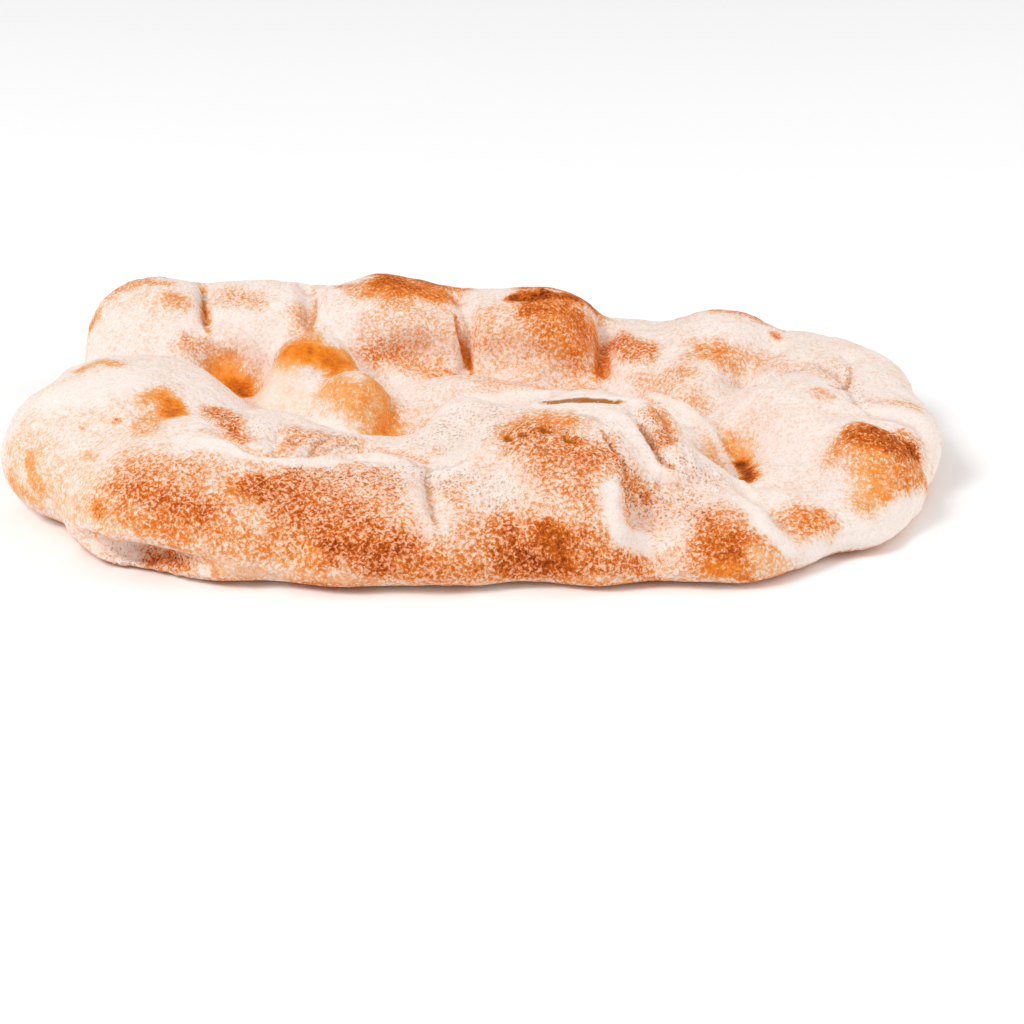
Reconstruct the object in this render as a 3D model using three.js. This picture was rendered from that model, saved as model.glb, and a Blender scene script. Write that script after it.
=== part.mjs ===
// A pinsa base: an oval, hand-stretched flatbread with a thick, uneven rim and a pressed middle.
// Millimetres. +X runs along the loaf, +Y from its front to its back, +Z up; it rests on z = 0.

import * as THREE from 'three';

// ---- driving sizes of the whole loaf
const LENGTH = 294;
const DEPTH = 190;
const HEIGHT = 41;
const FLOOR = 15;          // thickness of the pressed middle between its bubbles
const BLEND = 8;           // how softly one swelling of dough runs into the next
const LOWER_EDGE = 6;      // how softly the rim turns under to the flat underside
const SAG = 0.3;           // how far the dough settled on to the floor of the oven

// The flat middle sheet of dough, an oval a little smaller than the loaf, with a rounded edge.
const SHEET_HALF_LENGTH = 134;
const SHEET_HALF_DEPTH = 80;
const SHEET_EDGE = 12;

// ---- rolls: the long swellings of the rim
// Each runs from one end to the other: [x, y, top, half width] at either end, and the height of its
// widest line above the floor.
const ROLLS = [
  { name: 'back', from: [-96, 64, 34, 25], to: [16, 65, 35, 28], waist: 13 },
  { name: 'back right', from: [44, 64, 24, 28], to: [104, 46, 25, 31], waist: 11 },
  { name: 'right', from: [110, 36, 22, 28], to: [119, -4, 20, 25], waist: 10 },
  { name: 'right front', from: [117, -24, 17, 25], to: [99, -49, 12, 24], waist: 8 },
  { name: 'front', from: [-84, -49, 31, 39], to: [-14, -57, 27, 40], waist: 9 },
  { name: 'front slope', from: [52, -43, 36.5, 25], to: [87, -68, 15, 17], waist: 7 },
  { name: 'left', from: [-102, 48, 22, 28], to: [-104, -8, 33, 36], waist: 13 },
];

// ---- lobes: the single bubbles that the dough blew up into
// at: centre in plan; top: height of the crest; half: half length and half depth; turn: degrees.
const LOBES = [
  { name: 'back left', at: [-107, 65], top: 41, half: [23, 24], turn: -26, waist: 16 },
  { name: 'back left middle', at: [-73, 67], top: 37.3, half: [24, 24], turn: 4, waist: 14 },
  { name: 'back middle', at: [-27, 66], top: 41, half: [28, 28], turn: 0, waist: 12 },
  { name: 'back brown', at: [26, 60], top: 37, half: [22, 30], turn: -4, waist: 12 },
  { name: 'back saddle', at: [57, 50], top: 24, half: [18, 24], turn: 0, waist: 10 },
  { name: 'back right', at: [84, 52], top: 31.5, half: [25, 30], turn: -12, waist: 11 },
  { name: 'back right nose', at: [75, 26], top: 26, half: [17, 26], turn: 10, waist: 8 },
  { name: 'back corner', at: [118, 30], top: 25, half: [26, 29], turn: -50, waist: 10 },
  { name: 'right edge', at: [123, -3], top: 19.5, half: [23, 33], turn: 4, waist: 10 },
  { name: 'right inner', at: [102, -2], top: 29, half: [24, 32], turn: 14, waist: 6 },
  { name: 'right cap', at: [119, -36], top: 27.5, half: [16.5, 22], turn: 24, waist: 9 },
  { name: 'right front', at: [106, -56], top: 15, half: [18, 18], turn: 24, waist: 6 },
  { name: 'front dome shoulder', at: [1, -38], top: 34.5, half: [23, 34], turn: 0, waist: 10 },
  { name: 'front dome', at: [34, -47], top: 38.5, half: [38, 48], turn: -8, waist: 9 },
  { name: 'front corner', at: [70, -73], top: 20, half: [24, 22], turn: 10, waist: 7 },
  { name: 'front left', at: [-76, -50], top: 34, half: [40, 36], turn: 12, waist: 10 },
  { name: 'front shoulder', at: [-60, -28], top: 27, half: [30, 18], turn: -22, waist: 10 },
  { name: 'left end', at: [-110, -9], top: 36.5, half: [36, 45], turn: -8, waist: 12 },
  { name: 'left shoulder', at: [-99, 43], top: 30, half: [25, 13], turn: -8, waist: 12 },
  { name: 'bubble', at: [-52, 28], top: 34.5, half: [18, 22], turn: 20, waist: 10 },
  { name: 'small bubble', at: [-38, 6], top: 27, half: [13.5, 17], turn: 10, waist: 8 },
  { name: 'middle hump', at: [-2, 19], top: 22, half: [36, 19], turn: 0, waist: 2 },
];

// ---- hollows: where fingers pressed the dough down, or it stayed stuck between two bubbles
// at: centre, with its height; half: half sizes; soft: how rounded the lip of the hollow is.
const HOLLOWS = [
  { name: 'left pit', at: [-78, 27, 28], half: [12, 17, 15], turn: 20, soft: 8 },
  { name: 'middle pit', at: [-24, -12, 28], half: [10, 18, 17], turn: -10, soft: 8 },
  { name: 'right pit', at: [79, -26, 22], half: [10, 22, 16], turn: -24, soft: 10 },
  { name: 'foot of the back roll', at: [-2, 41, 23], half: [28, 4, 4.5], turn: -3, soft: 9 },
  { name: 'finger mark 1', at: [22, 0, 20], half: [8, 8, 6], turn: 0, soft: 6 },
  { name: 'finger mark 2', at: [48, 12, 19], half: [9, 8, 6], turn: 30, soft: 6 },
  { name: 'finger mark 3', at: [32, 30, 19], half: [7, 7, 5], turn: 0, soft: 6 },
  { name: 'front hollow', at: [60, -82, 27], half: [9, 14, 10], turn: -20, soft: 8 },
  { name: 'hollow in the dome', at: [56, -54, 39], half: [6, 12, 8], turn: -24, soft: 6 },
  { name: 'dent beside the dome', at: [-6, -50, 37], half: [8, 11, 7], turn: 10, soft: 8 },
  { name: 'fold under the front lip', at: [-100, -82, 7], half: [30, 8, 4], turn: -24, soft: 4 },
];

// ---- creases: narrow folds between neighbouring bubbles, drawn from one plan point to another
const CREASES = [
  { name: 'back 1', from: [-91, 74], to: [-87, 46], width: 2.6, depth: 3.4 },
  { name: 'back 2', from: [-56, 74], to: [-54, 46], width: 2.8, depth: 3.0 },
  { name: 'back 3', from: [-5, 72], to: [1, 30], width: 2.6, depth: 3.6 },
  { name: 'back 4', from: [46, 68], to: [47, 20], width: 4.0, depth: 4.0 },
  { name: 'front notch', from: [-11, -88], to: [-13, -50], width: 4.0, depth: 1.5 },
  { name: 'behind the front ridge', from: [-84, -46], to: [-12, -55], width: 5.0, depth: 2.2 },
  { name: 'front groove', from: [47, -54], to: [54, -98], width: 6.0, depth: 4.8 },
  { name: 'over the dome', from: [46, -34], to: [58, -72], width: 3.4, depth: 2.4 },
  { name: 'front corner fold', from: [80, -48], to: [98, -84], width: 5.0, depth: 4.0 },
  { name: 'right fold', from: [84, -45], to: [108, -51], width: 4.6, depth: 2.4 },
  { name: 'right valley', from: [70, -2], to: [108, 52], width: 6.0, depth: 3.5 },
];
const CREASE_FADE_LOW = 4;     // creases die out towards the floor between these two heights
const CREASE_FADE_HIGH = 16;

// ---- the slow unevenness of stretched dough: sideways drift, wavelength, direction, phase
const DRIFTS = [
  { size: 0.9, wave: 52, turn: 20, phase: 0.4 },
  { size: 0.8, wave: 41, turn: 108, phase: 2.1 },
  { size: 0.45, wave: 27, turn: 61, phase: 4.0 },
  { size: 0.35, wave: 19, turn: 152, phase: 1.2 },
];
const DRIFT_CROSS_TURN = 70;   // the drift along Y runs in directions turned by this much

// ---- how finely the skin is drawn
const GRID = 25;               // steps from the middle of the top to its edge
const RIM_ROWS = 11;           // bands of skin from the edge of the top down to the floor
const CORE_HALF_LENGTH = 116;  // the skin of the rim fans out from an oval line inside the loaf
const CORE_HALF_DEPTH = 66;
const CORE_HEIGHT = 11;
const UPRIGHT_SHARE = 0.28;    // share of the bands that stand below that line
const UNDERSIDE_HALF_LENGTH = 70;   // the flat rectangle in the middle of the underside
const UNDERSIDE_HALF_DEPTH = 40;
const FARTHEST = 70;           // no dough lies farther than this from the core line

const clamp = THREE.MathUtils.clamp;
const radians = THREE.MathUtils.degToRad;

function turned(x, y, degrees) {
  const a = radians(degrees);
  return [x * Math.cos(a) + y * Math.sin(a), y * Math.cos(a) - x * Math.sin(a)];
}

function softMin(a, b, blend) {
  const h = Math.max(blend - Math.abs(a - b), 0);
  return Math.min(a, b) - (h * h) / (4 * blend);
}

function softMax(a, b, blend) {
  return -softMin(-a, -b, blend);
}

// Near-distance to an ellipsoid about the origin; negative inside.
function ellipsoid(x, y, z, a, b, c) {
  const near = Math.hypot(x / a, y / b, z / c);
  const slope = Math.hypot(x / (a * a), y / (b * b), z / (c * c)) + 1e-9;
  return (near * (near - 1)) / slope;
}

// The middle sheet: an oval disc with a rounded upper edge.
function sheet(x, y, z) {
  const a = SHEET_HALF_LENGTH;
  const b = SHEET_HALF_DEPTH;
  const near = Math.hypot(x / a, y / b);
  const slope = Math.hypot(x / (a * a), y / (b * b)) + 1e-9;
  const side = (near * (near - 1)) / slope + SHEET_EDGE;
  const above = z - FLOOR + SHEET_EDGE;
  const corner = Math.hypot(Math.max(side, 0), Math.max(above, 0));
  return Math.min(Math.max(side, above), 0) + corner - SHEET_EDGE;
}

// A long swelling whose width and height change evenly from one end to the other.
function roll(x, y, z, { from, to, waist }) {
  const dx = to[0] - from[0];
  const dy = to[1] - from[1];
  const along = clamp(((x - from[0]) * dx + (y - from[1]) * dy) / (dx * dx + dy * dy), 0, 1);
  const aside = Math.hypot(x - from[0] - along * dx, y - from[1] - along * dy);
  const ease = along * along * (3 - 2 * along);
  const halfWidth = from[3] + (to[3] - from[3]) * ease;
  const rise = from[2] + (to[2] - from[2]) * ease - waist;
  return ellipsoid(aside, 0, z - waist, halfWidth, halfWidth, rise);
}

function lobe(x, y, z, { at, top, half, turn, waist }) {
  const [u, v] = turned(x - at[0], y - at[1], turn);
  return ellipsoid(u, v, z - waist, half[0], half[1], top - waist);
}

function hollow(x, y, z, { at, half, turn }) {
  const [u, v] = turned(x - at[0], y - at[1], turn);
  return ellipsoid(u, v, z - at[2], half[0], half[1], half[2]);
}

// How much dough a crease takes away at a point; it fades at both ends and towards the floor.
function crease(x, y, z, { from, to, width, depth }) {
  const dx = to[0] - from[0];
  const dy = to[1] - from[1];
  const along = clamp(((x - from[0]) * dx + (y - from[1]) * dy) / (dx * dx + dy * dy), 0, 1);
  const aside = Math.hypot(x - from[0] - along * dx, y - from[1] - along * dy);
  const end = clamp(Math.min(along, 1 - along) * 5, 0, 1);
  const ends = end * end * (3 - 2 * end);
  const up = clamp((z - CREASE_FADE_LOW) / (CREASE_FADE_HIGH - CREASE_FADE_LOW), 0, 1);
  return depth * ends * up * Math.exp(-((aside / width) ** 2));
}

function drift(x, y, z, extraTurn) {
  let total = 0;
  for (const { size, wave, turn, phase } of DRIFTS) {
    const [along] = turned(x, y, turn + extraTurn);
    total += size * Math.sin(((along + 0.3 * z) * 2 * Math.PI) / wave + phase + extraTurn);
  }
  return total;
}

// Near-distance to the skin of the dough, negative inside it.
function dough(x0, y0, z) {
  const x = x0 + drift(x0, y0, z, 0);
  const y = y0 + drift(x0, y0, z, DRIFT_CROSS_TURN);
  let d = sheet(x, y, z);
  for (const each of ROLLS) {
    d = softMin(d, roll(x, y, z, each), BLEND);
  }
  for (const each of LOBES) {
    d = softMin(d, lobe(x, y, z, each), BLEND);
  }
  for (const each of HOLLOWS) {
    d = softMax(d, -hollow(x, y, z, each), each.soft);
  }
  for (const each of CREASES) {
    d += crease(x, y, z, each);
  }
  return softMax(d, -z - SAG, LOWER_EDGE);
}

// The outermost point of the dough along a line that leaves the core: walked in from outside.
function skinPoint(start, direction) {
  const at = (t) => start.clone().addScaledVector(direction, t);
  const depthAt = (t) => {
    const p = at(t);
    return dough(p.x, p.y, p.z);
  };
  let t = FARTHEST;
  let gap = depthAt(t);
  while (gap > 0.02 && t > 0) {
    t = Math.max(t - clamp(gap * 0.8, 0.05, 8), 0);
    gap = depthAt(t);
  }
  let inner = t - 0.3;
  let outer = t + 0.8;
  for (let i = 0; i < 14; i += 1) {
    const middle = (inner + outer) / 2;
    if (depthAt(middle) < 0) {
      inner = middle;
    } else {
      outer = middle;
    }
  }
  return at((inner + outer) / 2);
}

// A square of grid steps drawn out into a round disc: step (i, j) to a point of the unit disc.
function discPoint(i, j) {
  if (i === 0 && j === 0) {
    return [0, 0];
  }
  const byX = Math.abs(i) > Math.abs(j);
  const radius = (byX ? i : j) / GRID;
  const angle = byX ? (Math.PI / 4) * (j / i) : Math.PI / 2 - (Math.PI / 4) * (i / j);
  return [radius * Math.cos(angle), radius * Math.sin(angle)];
}

// The grid steps around the edge of the disc, anticlockwise from its lower right corner.
function edgeSteps() {
  const steps = [];
  for (let k = -GRID; k < GRID; k += 1) {
    steps.push([GRID, k]);
  }
  for (let k = GRID; k > -GRID; k -= 1) {
    steps.push([k, GRID]);
  }
  for (let k = GRID; k > -GRID; k -= 1) {
    steps.push([-GRID, k]);
  }
  for (let k = -GRID; k < GRID; k += 1) {
    steps.push([k, -GRID]);
  }
  return steps;
}

const points = [];
const triangles = [];

function addPoint(p) {
  points.push(p);
  return points.length - 1;
}

// Four corners in order, cut along the shorter diagonal so that the skin stays smooth.
function addFour(a, b, c, d) {
  if (points[a].distanceTo(points[c]) <= points[b].distanceTo(points[d])) {
    triangles.push([a, b, c], [a, c, d]);
  } else {
    triangles.push([a, b, d], [b, c, d]);
  }
}

// The top: lines straight up from the grid under it.
function drawTop() {
  const up = new THREE.Vector3(0, 0, 1);
  const index = new Map();
  for (let j = -GRID; j <= GRID; j += 1) {
    for (let i = -GRID; i <= GRID; i += 1) {
      const [u, v] = discPoint(i, j);
      const start = new THREE.Vector3(CORE_HALF_LENGTH * u, CORE_HALF_DEPTH * v, 2);
      index.set(`${i},${j}`, addPoint(skinPoint(start, up)));
    }
  }
  for (let j = -GRID; j < GRID; j += 1) {
    for (let i = -GRID; i < GRID; i += 1) {
      const corner = (di, dj) => index.get(`${i + di},${j + dj}`);
      addFour(corner(0, 0), corner(1, 0), corner(1, 1), corner(0, 1));
    }
  }
  return edgeSteps().map(([i, j]) => index.get(`${i},${j}`));
}

// The start and direction of one line of the rim, for a band at the given share of its height.
function rimLine(i, j, share) {
  const [u, v] = discPoint(i, j);
  const outward = new THREE.Vector3(u / CORE_HALF_LENGTH, v / CORE_HALF_DEPTH, 0).normalize();
  const fan = Math.max((share - UPRIGHT_SHARE) / (1 - UPRIGHT_SHARE), 0);
  const lift = (fan * Math.PI) / 2;
  const height = CORE_HEIGHT * Math.min(share / UPRIGHT_SHARE, 1);
  const start = new THREE.Vector3(CORE_HALF_LENGTH * u, CORE_HALF_DEPTH * v, height);
  const direction = outward.multiplyScalar(Math.cos(lift));
  direction.z = Math.sin(lift);
  return [start, direction];
}

// The rim: bands that fan from upright to level, then go straight down to the floor.
function drawRim(topEdge) {
  const steps = edgeSteps();
  let above = topEdge;
  for (let row = 1; row <= RIM_ROWS; row += 1) {
    const share = 1 - row / RIM_ROWS;
    const band = steps.map(([i, j]) => addPoint(skinPoint(...rimLine(i, j, share))));
    for (let k = 0; k < band.length; k += 1) {
      const next = (k + 1) % band.length;
      addFour(above[k], band[k], band[next], above[next]);
    }
    above = band;
  }
  return above;
}

// The flat underside: a rectangle in the middle, and one fan from each of its corners to the edge.
function drawUnderside(edge) {
  const a = UNDERSIDE_HALF_LENGTH;
  const b = UNDERSIDE_HALF_DEPTH;
  const corners = [[a, b], [-a, b], [-a, -b], [a, -b]];
  const corner = corners.map(([x, y]) => addPoint(new THREE.Vector3(x, y, 0)));
  const quarter = 2 * GRID;
  for (let side = 0; side < 4; side += 1) {
    const first = GRID + side * quarter;
    for (let k = first; k < first + quarter; k += 1) {
      triangles.push([corner[side], edge[(k + 1) % edge.length], edge[k % edge.length]]);
    }
    const last = (first + quarter) % edge.length;
    triangles.push([corner[side], corner[(side + 1) % 4], edge[last]]);
  }
  triangles.push([corner[0], corner[2], corner[1]], [corner[0], corner[3], corner[2]]);
}

// Bring the loaf to its stated length, depth and height, centred over the origin.
function fitToSize() {
  const box = new THREE.Box3().setFromPoints(points);
  const size = box.getSize(new THREE.Vector3());
  const middle = box.getCenter(new THREE.Vector3());
  for (const p of points) {
    p.x = ((p.x - middle.x) * LENGTH) / size.x;
    p.y = ((p.y - middle.y) * DEPTH) / size.y;
    p.z = (p.z * HEIGHT) / size.z;
  }
}

function loafGeometry() {
  drawUnderside(drawRim(drawTop()));
  fitToSize();
  const geometry = new THREE.BufferGeometry();
  geometry.setAttribute('position', new THREE.Float32BufferAttribute(points.flatMap((p) => p.toArray()), 3));
  geometry.setIndex(triangles.flat());
  geometry.computeVertexNormals();
  return geometry;
}

const crust = new THREE.MeshStandardMaterial({ color: '#e3bd94', roughness: 0.85, metalness: 0 });
crust.name = 'crust';

const loaf = new THREE.Mesh(loafGeometry(), crust);
loaf.name = 'pinsa_base';

const group = new THREE.Group();
group.add(loaf);

export default group;
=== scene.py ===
# %% [markdown]
# # A pinsa base in Blender
# A pinsa base is a flat oval bread, pressed out by hand, baked and dusted with flour. Its middle is
# thin and dimpled, and its rim has risen into rolls and bubbles that brown where they stand proud.
# This lesson makes its crust, its browning and the flour that lies on it, one step at a time.

# %% The fixed frame
import math

import bpy
import numpy as np
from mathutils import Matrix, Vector, noise
from mathutils.bvhtree import BVHTree


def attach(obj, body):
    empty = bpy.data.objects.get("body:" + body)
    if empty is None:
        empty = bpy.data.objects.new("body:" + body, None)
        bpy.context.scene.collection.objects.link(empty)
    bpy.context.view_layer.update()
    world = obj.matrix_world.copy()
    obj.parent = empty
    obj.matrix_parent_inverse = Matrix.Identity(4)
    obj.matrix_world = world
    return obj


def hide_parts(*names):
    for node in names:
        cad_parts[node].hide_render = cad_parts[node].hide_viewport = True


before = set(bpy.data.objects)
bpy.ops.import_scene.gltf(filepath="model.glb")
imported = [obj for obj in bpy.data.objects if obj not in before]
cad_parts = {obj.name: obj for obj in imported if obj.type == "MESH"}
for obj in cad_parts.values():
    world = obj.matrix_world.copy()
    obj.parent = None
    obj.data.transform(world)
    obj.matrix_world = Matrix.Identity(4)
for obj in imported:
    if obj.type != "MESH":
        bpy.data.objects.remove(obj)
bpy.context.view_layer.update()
MM = 0.001
# the bread's measured sides in millimetres, as in the solid
LENGTH, DEPTH, HEIGHT = 294.0, 190.0, 41.0

# %% [markdown]
# ## The camera
# The photograph looks along the short side of the bread from a little above it. The camera comes
# first, because the marks on the crust are found by looking along its sight lines. Its place was
# solved from the outline, so a mark in the picture and the same mark on the crust lie on one line.

# %% Camera
PHOTO_PIXELS = 1024
MIDDLE_PIXEL = (PHOTO_PIXELS / 2, PHOTO_PIXELS / 2)
LENS_MM = 90.0
SENSOR_MM = 36.0
# where the camera stands and what it looks at, in millimetres
CAMERA_PLACE = Vector((-0.09, -754.26, 320.30))
CAMERA_AIM = Vector((12.22, -23.49, -5.01))

camera = bpy.data.objects.new("photo camera", bpy.data.cameras.new("photo camera"))
camera.data.lens = LENS_MM
camera.data.sensor_width = SENSOR_MM
camera.location = CAMERA_PLACE * MM
camera.rotation_mode = "QUATERNION"
camera_turn = (CAMERA_AIM - CAMERA_PLACE).to_track_quat("-Z", "Y")
camera.rotation_quaternion = camera_turn
bpy.context.scene.collection.objects.link(camera)
bpy.context.scene.camera = camera
print("the camera stands", round((CAMERA_AIM - CAMERA_PLACE).length), "mm from the bread")


# %% [markdown]
# ## The dough as a field
# Risen dough has no edges: each swelling runs into the next. A field gives that for free. It is a
# function that is negative inside the dough and positive outside it. Every swelling is an ellipsoid,
# and a soft minimum melts them together, while a soft maximum presses the hollows back in.
# The same named swellings and hollows shape the solid, so this skin lies on it.

# %% Soft minimum, ellipsoid and turned axes
# how far apart two forms still melt together, in millimetres
BLEND = 6.0
# keeps a division from meeting zero
TINY = 1e-9


def soft_min(a, b, reach):
    overlap = np.maximum(reach - np.abs(a - b), 0.0)
    return np.minimum(a, b) - overlap * overlap / (4 * reach)


def soft_max(a, b, reach):
    return -soft_min(-a, -b, reach)


def ellipsoid(x, y, z, a, b, c):
    near = np.sqrt((x / a) ** 2 + (y / b) ** 2 + (z / c) ** 2)
    slope = np.sqrt((x / a**2) ** 2 + (y / b**2) ** 2 + (z / c**2) ** 2) + TINY
    return near * (near - 1) / slope


def turned(x, y, degrees):
    angle = math.radians(degrees)
    cos, sin = math.cos(angle), math.sin(angle)
    return x * cos + y * sin, -x * sin + y * cos


def ease(t):
    """A share from 0 to 1 that starts and ends gently."""
    t = np.clip(t, 0.0, 1.0)
    return t * t * (3 - 2 * t)


print("where two forms meet, the dough is", -float(soft_min(0.0, 0.0, BLEND)), "mm thicker than either")

# %% [markdown]
# ## The rolls and lobes of the rim
# The rim isn't one even ring. It is a chain of rolls, and on them sit single lobes where gas
# gathered. Each roll is given by its two ends, each with its top and half width, and each lobe
# by its centre, top, half sizes and turn. All lengths are millimetres above the floor.

# %% Rolls, lobes and the thin middle
SHEET_TOP = 15.0
SHEET_HALF = (134.0, 80.0)
SHEET_EDGE = 12.0
# x, y, top and half width at both ends, then the height of the waist
ROLLS = {
    "back": (-96, 64, 38.8, 25, 16, 65, 35.5, 28, 13),
    "back right": (44, 64, 24, 28, 104, 46, 25, 31, 11),
    "right": (110, 36, 23.5, 28, 119, -4, 23, 25, 12),
    "right front": (117, -24, 17, 25, 99, -49, 12, 24, 8),
    "front": (-84, -49, 31, 39, -14, -57, 27, 40, 9),
    "front slope": (52, -43, 36.5, 25, 87, -68, 15, 17, 7),
    "left": (-102, 48, 22, 28, -104, -8, 33, 36, 13),
    "front foot": (-52, -58, 13, 33, 74, -60, 12, 31, 4),
    "corner foot": (82, -56, 12, 29, 104, -44, 11, 29, 4),
}
# x, y, top, half length, half depth, turn, height of the waist
LOBES = {
    "back left": (-107, 65, 41, 23, 24, -26, 16),
    "back left middle": (-73, 67, 37.3, 24, 24, 4, 14),
    "back middle": (-27, 66, 41, 28, 28, 0, 12),
    "back brown": (26, 60, 37, 22, 30, -4, 12),
    "back saddle": (57, 50, 24, 18, 24, 0, 10),
    "back right": (84, 52, 31.5, 25, 30, -12, 11),
    "back right nose": (75, 26, 26, 17, 26, 10, 8),
    "back corner": (118, 30, 26, 27, 30, -50, 13),
    "right edge": (123, 0, 23.5, 24.5, 34, 4, 13),
    "right inner": (102, -2, 29, 24, 32, 14, 6),
    "right cap": (119, -36, 27.5, 16.5, 22, 24, 9),
    "right front": (106, -56, 15, 18, 18, 24, 6),
    "front dome shoulder": (1, -38, 34.5, 23, 34, 0, 10),
    "front dome": (34, -47, 38.5, 38, 48, -8, 9),
    "front corner": (70, -73, 20, 24, 22, 10, 7),
    "front left": (-76, -50, 34, 40, 36, 12, 10),
    "front shoulder": (-65, -26, 29.3, 29, 17, -22, 10),
    "left end": (-110, -9, 36.5, 36, 45, -8, 12),
    "left shoulder": (-99, 43, 30, 25, 13, -8, 12),
    "bubble": (-52, 28, 34.5, 18, 22, 20, 10),
    "small bubble": (-38, 8, 29, 13.5, 17, 10, 8),
    "middle hump": (-2, 19, 22, 36, 19, 0, 2),
}
print(len(ROLLS), "rolls and", len(LOBES), "lobes stand on a sheet", SHEET_TOP, "mm thick")


# %% [markdown]
# ## Sheet, roll and lobe as distances
# Each form is a function that tells about how far a point lies outside it. The sheet is a flat oval
# with a rounded edge. A lobe is an ellipsoid, and a roll is an ellipse that changes its size on the way
# from one end to the other. Simple forms are enough, because the soft minimum hides where they meet.

# %% The raised dough
def sheet(x, y, z):
    half_length, half_depth = SHEET_HALF
    near = np.sqrt((x / half_length) ** 2 + (y / half_depth) ** 2)
    slope = np.sqrt((x / half_length**2) ** 2 + (y / half_depth**2) ** 2) + TINY
    side = near * (near - 1) / slope + SHEET_EDGE
    rise = z - SHEET_TOP + SHEET_EDGE
    outside = np.hypot(np.maximum(side, 0), np.maximum(rise, 0))
    return np.minimum(np.maximum(side, rise), 0) + outside - SHEET_EDGE


def roll(x, y, z, x0, y0, top0, half0, x1, y1, top1, half1, waist):
    along_x, along_y = x1 - x0, y1 - y0
    share = ((x - x0) * along_x + (y - y0) * along_y) / (along_x**2 + along_y**2)
    share = np.clip(share, 0, 1)
    aside = np.hypot(x - x0 - share * along_x, y - y0 - share * along_y)
    share = ease(share)
    half = half0 + (half1 - half0) * share
    rise = top0 + (top1 - top0) * share - waist
    return ellipsoid(aside, 0.0, z - waist, half, 1.0, rise)


def lobe(x, y, z, at_x, at_y, top, half_length, half_depth, turn, waist):
    along, across = turned(x - at_x, y - at_y, turn)
    return ellipsoid(along, across, z - waist, half_length, half_depth, top - waist)


print("well inside its edge, the sheet's top lies", -float(sheet(40.0, 0.0, 0.0)), "mm above the floor")

# %% [markdown]
# ## The hollows, the creases and the dough's own drift
# Fingertips leave pits between the rolls, and where two lobes swell against each other the skin
# folds in along a crease. Nothing that a hand shaped is even, so the whole field is also read a
# little aside of where it stands, by a few slow waves.

# %% Hollows, creases and drift
# x, y, z, the three half sizes, turn, softness
HOLLOWS = {
    "left pit": (-78, 27, 28, 12, 17, 15, 20, 8),
    "middle pit": (-24, -12, 28, 10, 18, 17, -10, 8),
    "right pit": (78, -29, 22, 10, 22, 16, -24, 10),
    "foot of back roll": (-2, 41, 23, 28, 4, 4.5, -3, 9),
    "first finger mark": (22, 0, 20, 8, 8, 6, 0, 6),
    "second finger mark": (48, 12, 19, 9, 8, 6, 30, 6),
    "third finger mark": (32, 30, 19, 7, 7, 5, 0, 6),
    "fourth finger mark": (-4, -6, 21, 12, 7, 4.5, 35, 9),
    "front hollow": (60, -82, 27, 9, 14, 10, -20, 8),
    "hollow in dome": (56, -54, 39, 6, 12, 8, -24, 6),
    "dent beside dome": (-7, -48, 37, 9.5, 11.5, 8.5, 10, 8),
    "fold under front lip": (-100, -82, 7, 30, 8, 4, -24, 4),
}
# both ends in plan, width, depth
CREASES = {
    "back, left": (-91, 74, -87, 46, 2.6, 3.4),
    "back, left middle": (-56, 74, -54, 46, 2.8, 3.0),
    "back, middle": (-5, 72, 1, 30, 2.6, 3.6),
    "back, right": (46, 68, 47, 20, 4.0, 4.0),
    "front notch": (-11, -88, -13, -50, 4.0, 1.5),
    "behind front ridge": (-84, -46, -12, -55, 5.0, 2.2),
    "front groove": (47, -54, 54, -98, 6.0, 4.8),
    "over the dome": (46, -34, 58, -72, 3.4, 2.4),
    "front corner fold": (80, -48, 98, -84, 5.0, 4.0),
    "right fold": (72, -42, 108, -51, 5.0, 3.2),
    "right valley": (70, -2, 108, 52, 6.0, 3.5),
}
# a crease grows from nothing to its depth between these heights, and over this share of its length
CREASE_FADE = (4.0, 16.0)
CREASE_END_SHARE = 0.2
# size, wavelength, direction, phase
DRIFTS = ((0.9, 52, 20, 0.4), (0.8, 41, 108, 2.1), (0.45, 27, 61, 4.0), (0.35, 19, 152, 1.2))
DRIFT_CROSS_TURN = 70
DRIFT_LEAN = 0.3


def crease(x, y, z, x0, y0, x1, y1, width, depth):
    along_x, along_y = x1 - x0, y1 - y0
    share = ((x - x0) * along_x + (y - y0) * along_y) / (along_x**2 + along_y**2)
    share = np.clip(share, 0, 1)
    aside = np.hypot(x - x0 - share * along_x, y - y0 - share * along_y)
    ends = ease(np.minimum(share, 1 - share) / CREASE_END_SHARE)
    low, high = CREASE_FADE
    rise = np.clip((z - low) / (high - low), 0, 1)
    return depth * ends * rise * np.exp(-((aside / width) ** 2))


def drift(x, y, z, extra_turn):
    total = 0.0
    for size, wave, direction, phase in DRIFTS:
        angle = math.radians(direction + extra_turn)
        along = x * math.cos(angle) + y * math.sin(angle) + DRIFT_LEAN * z
        total = total + size * np.sin(along * 2 * math.pi / wave + phase + extra_turn)
    return total


print(len(HOLLOWS), "hollows,", len(CREASES), "creases and", len(DRIFTS), "waves of drift")

# %% [markdown]
# ## The whole dough
# The order is the baker's: the sheet rises into rolls and lobes, fingers press the hollows in, the
# skin folds along the creases, and the oven's floor cuts it flat and leaves a rounded lower edge.

# %% The whole dough
# how deep the floor cuts, and how softly
SAG = 0.3
LOWER_EDGE = 6.0


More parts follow.
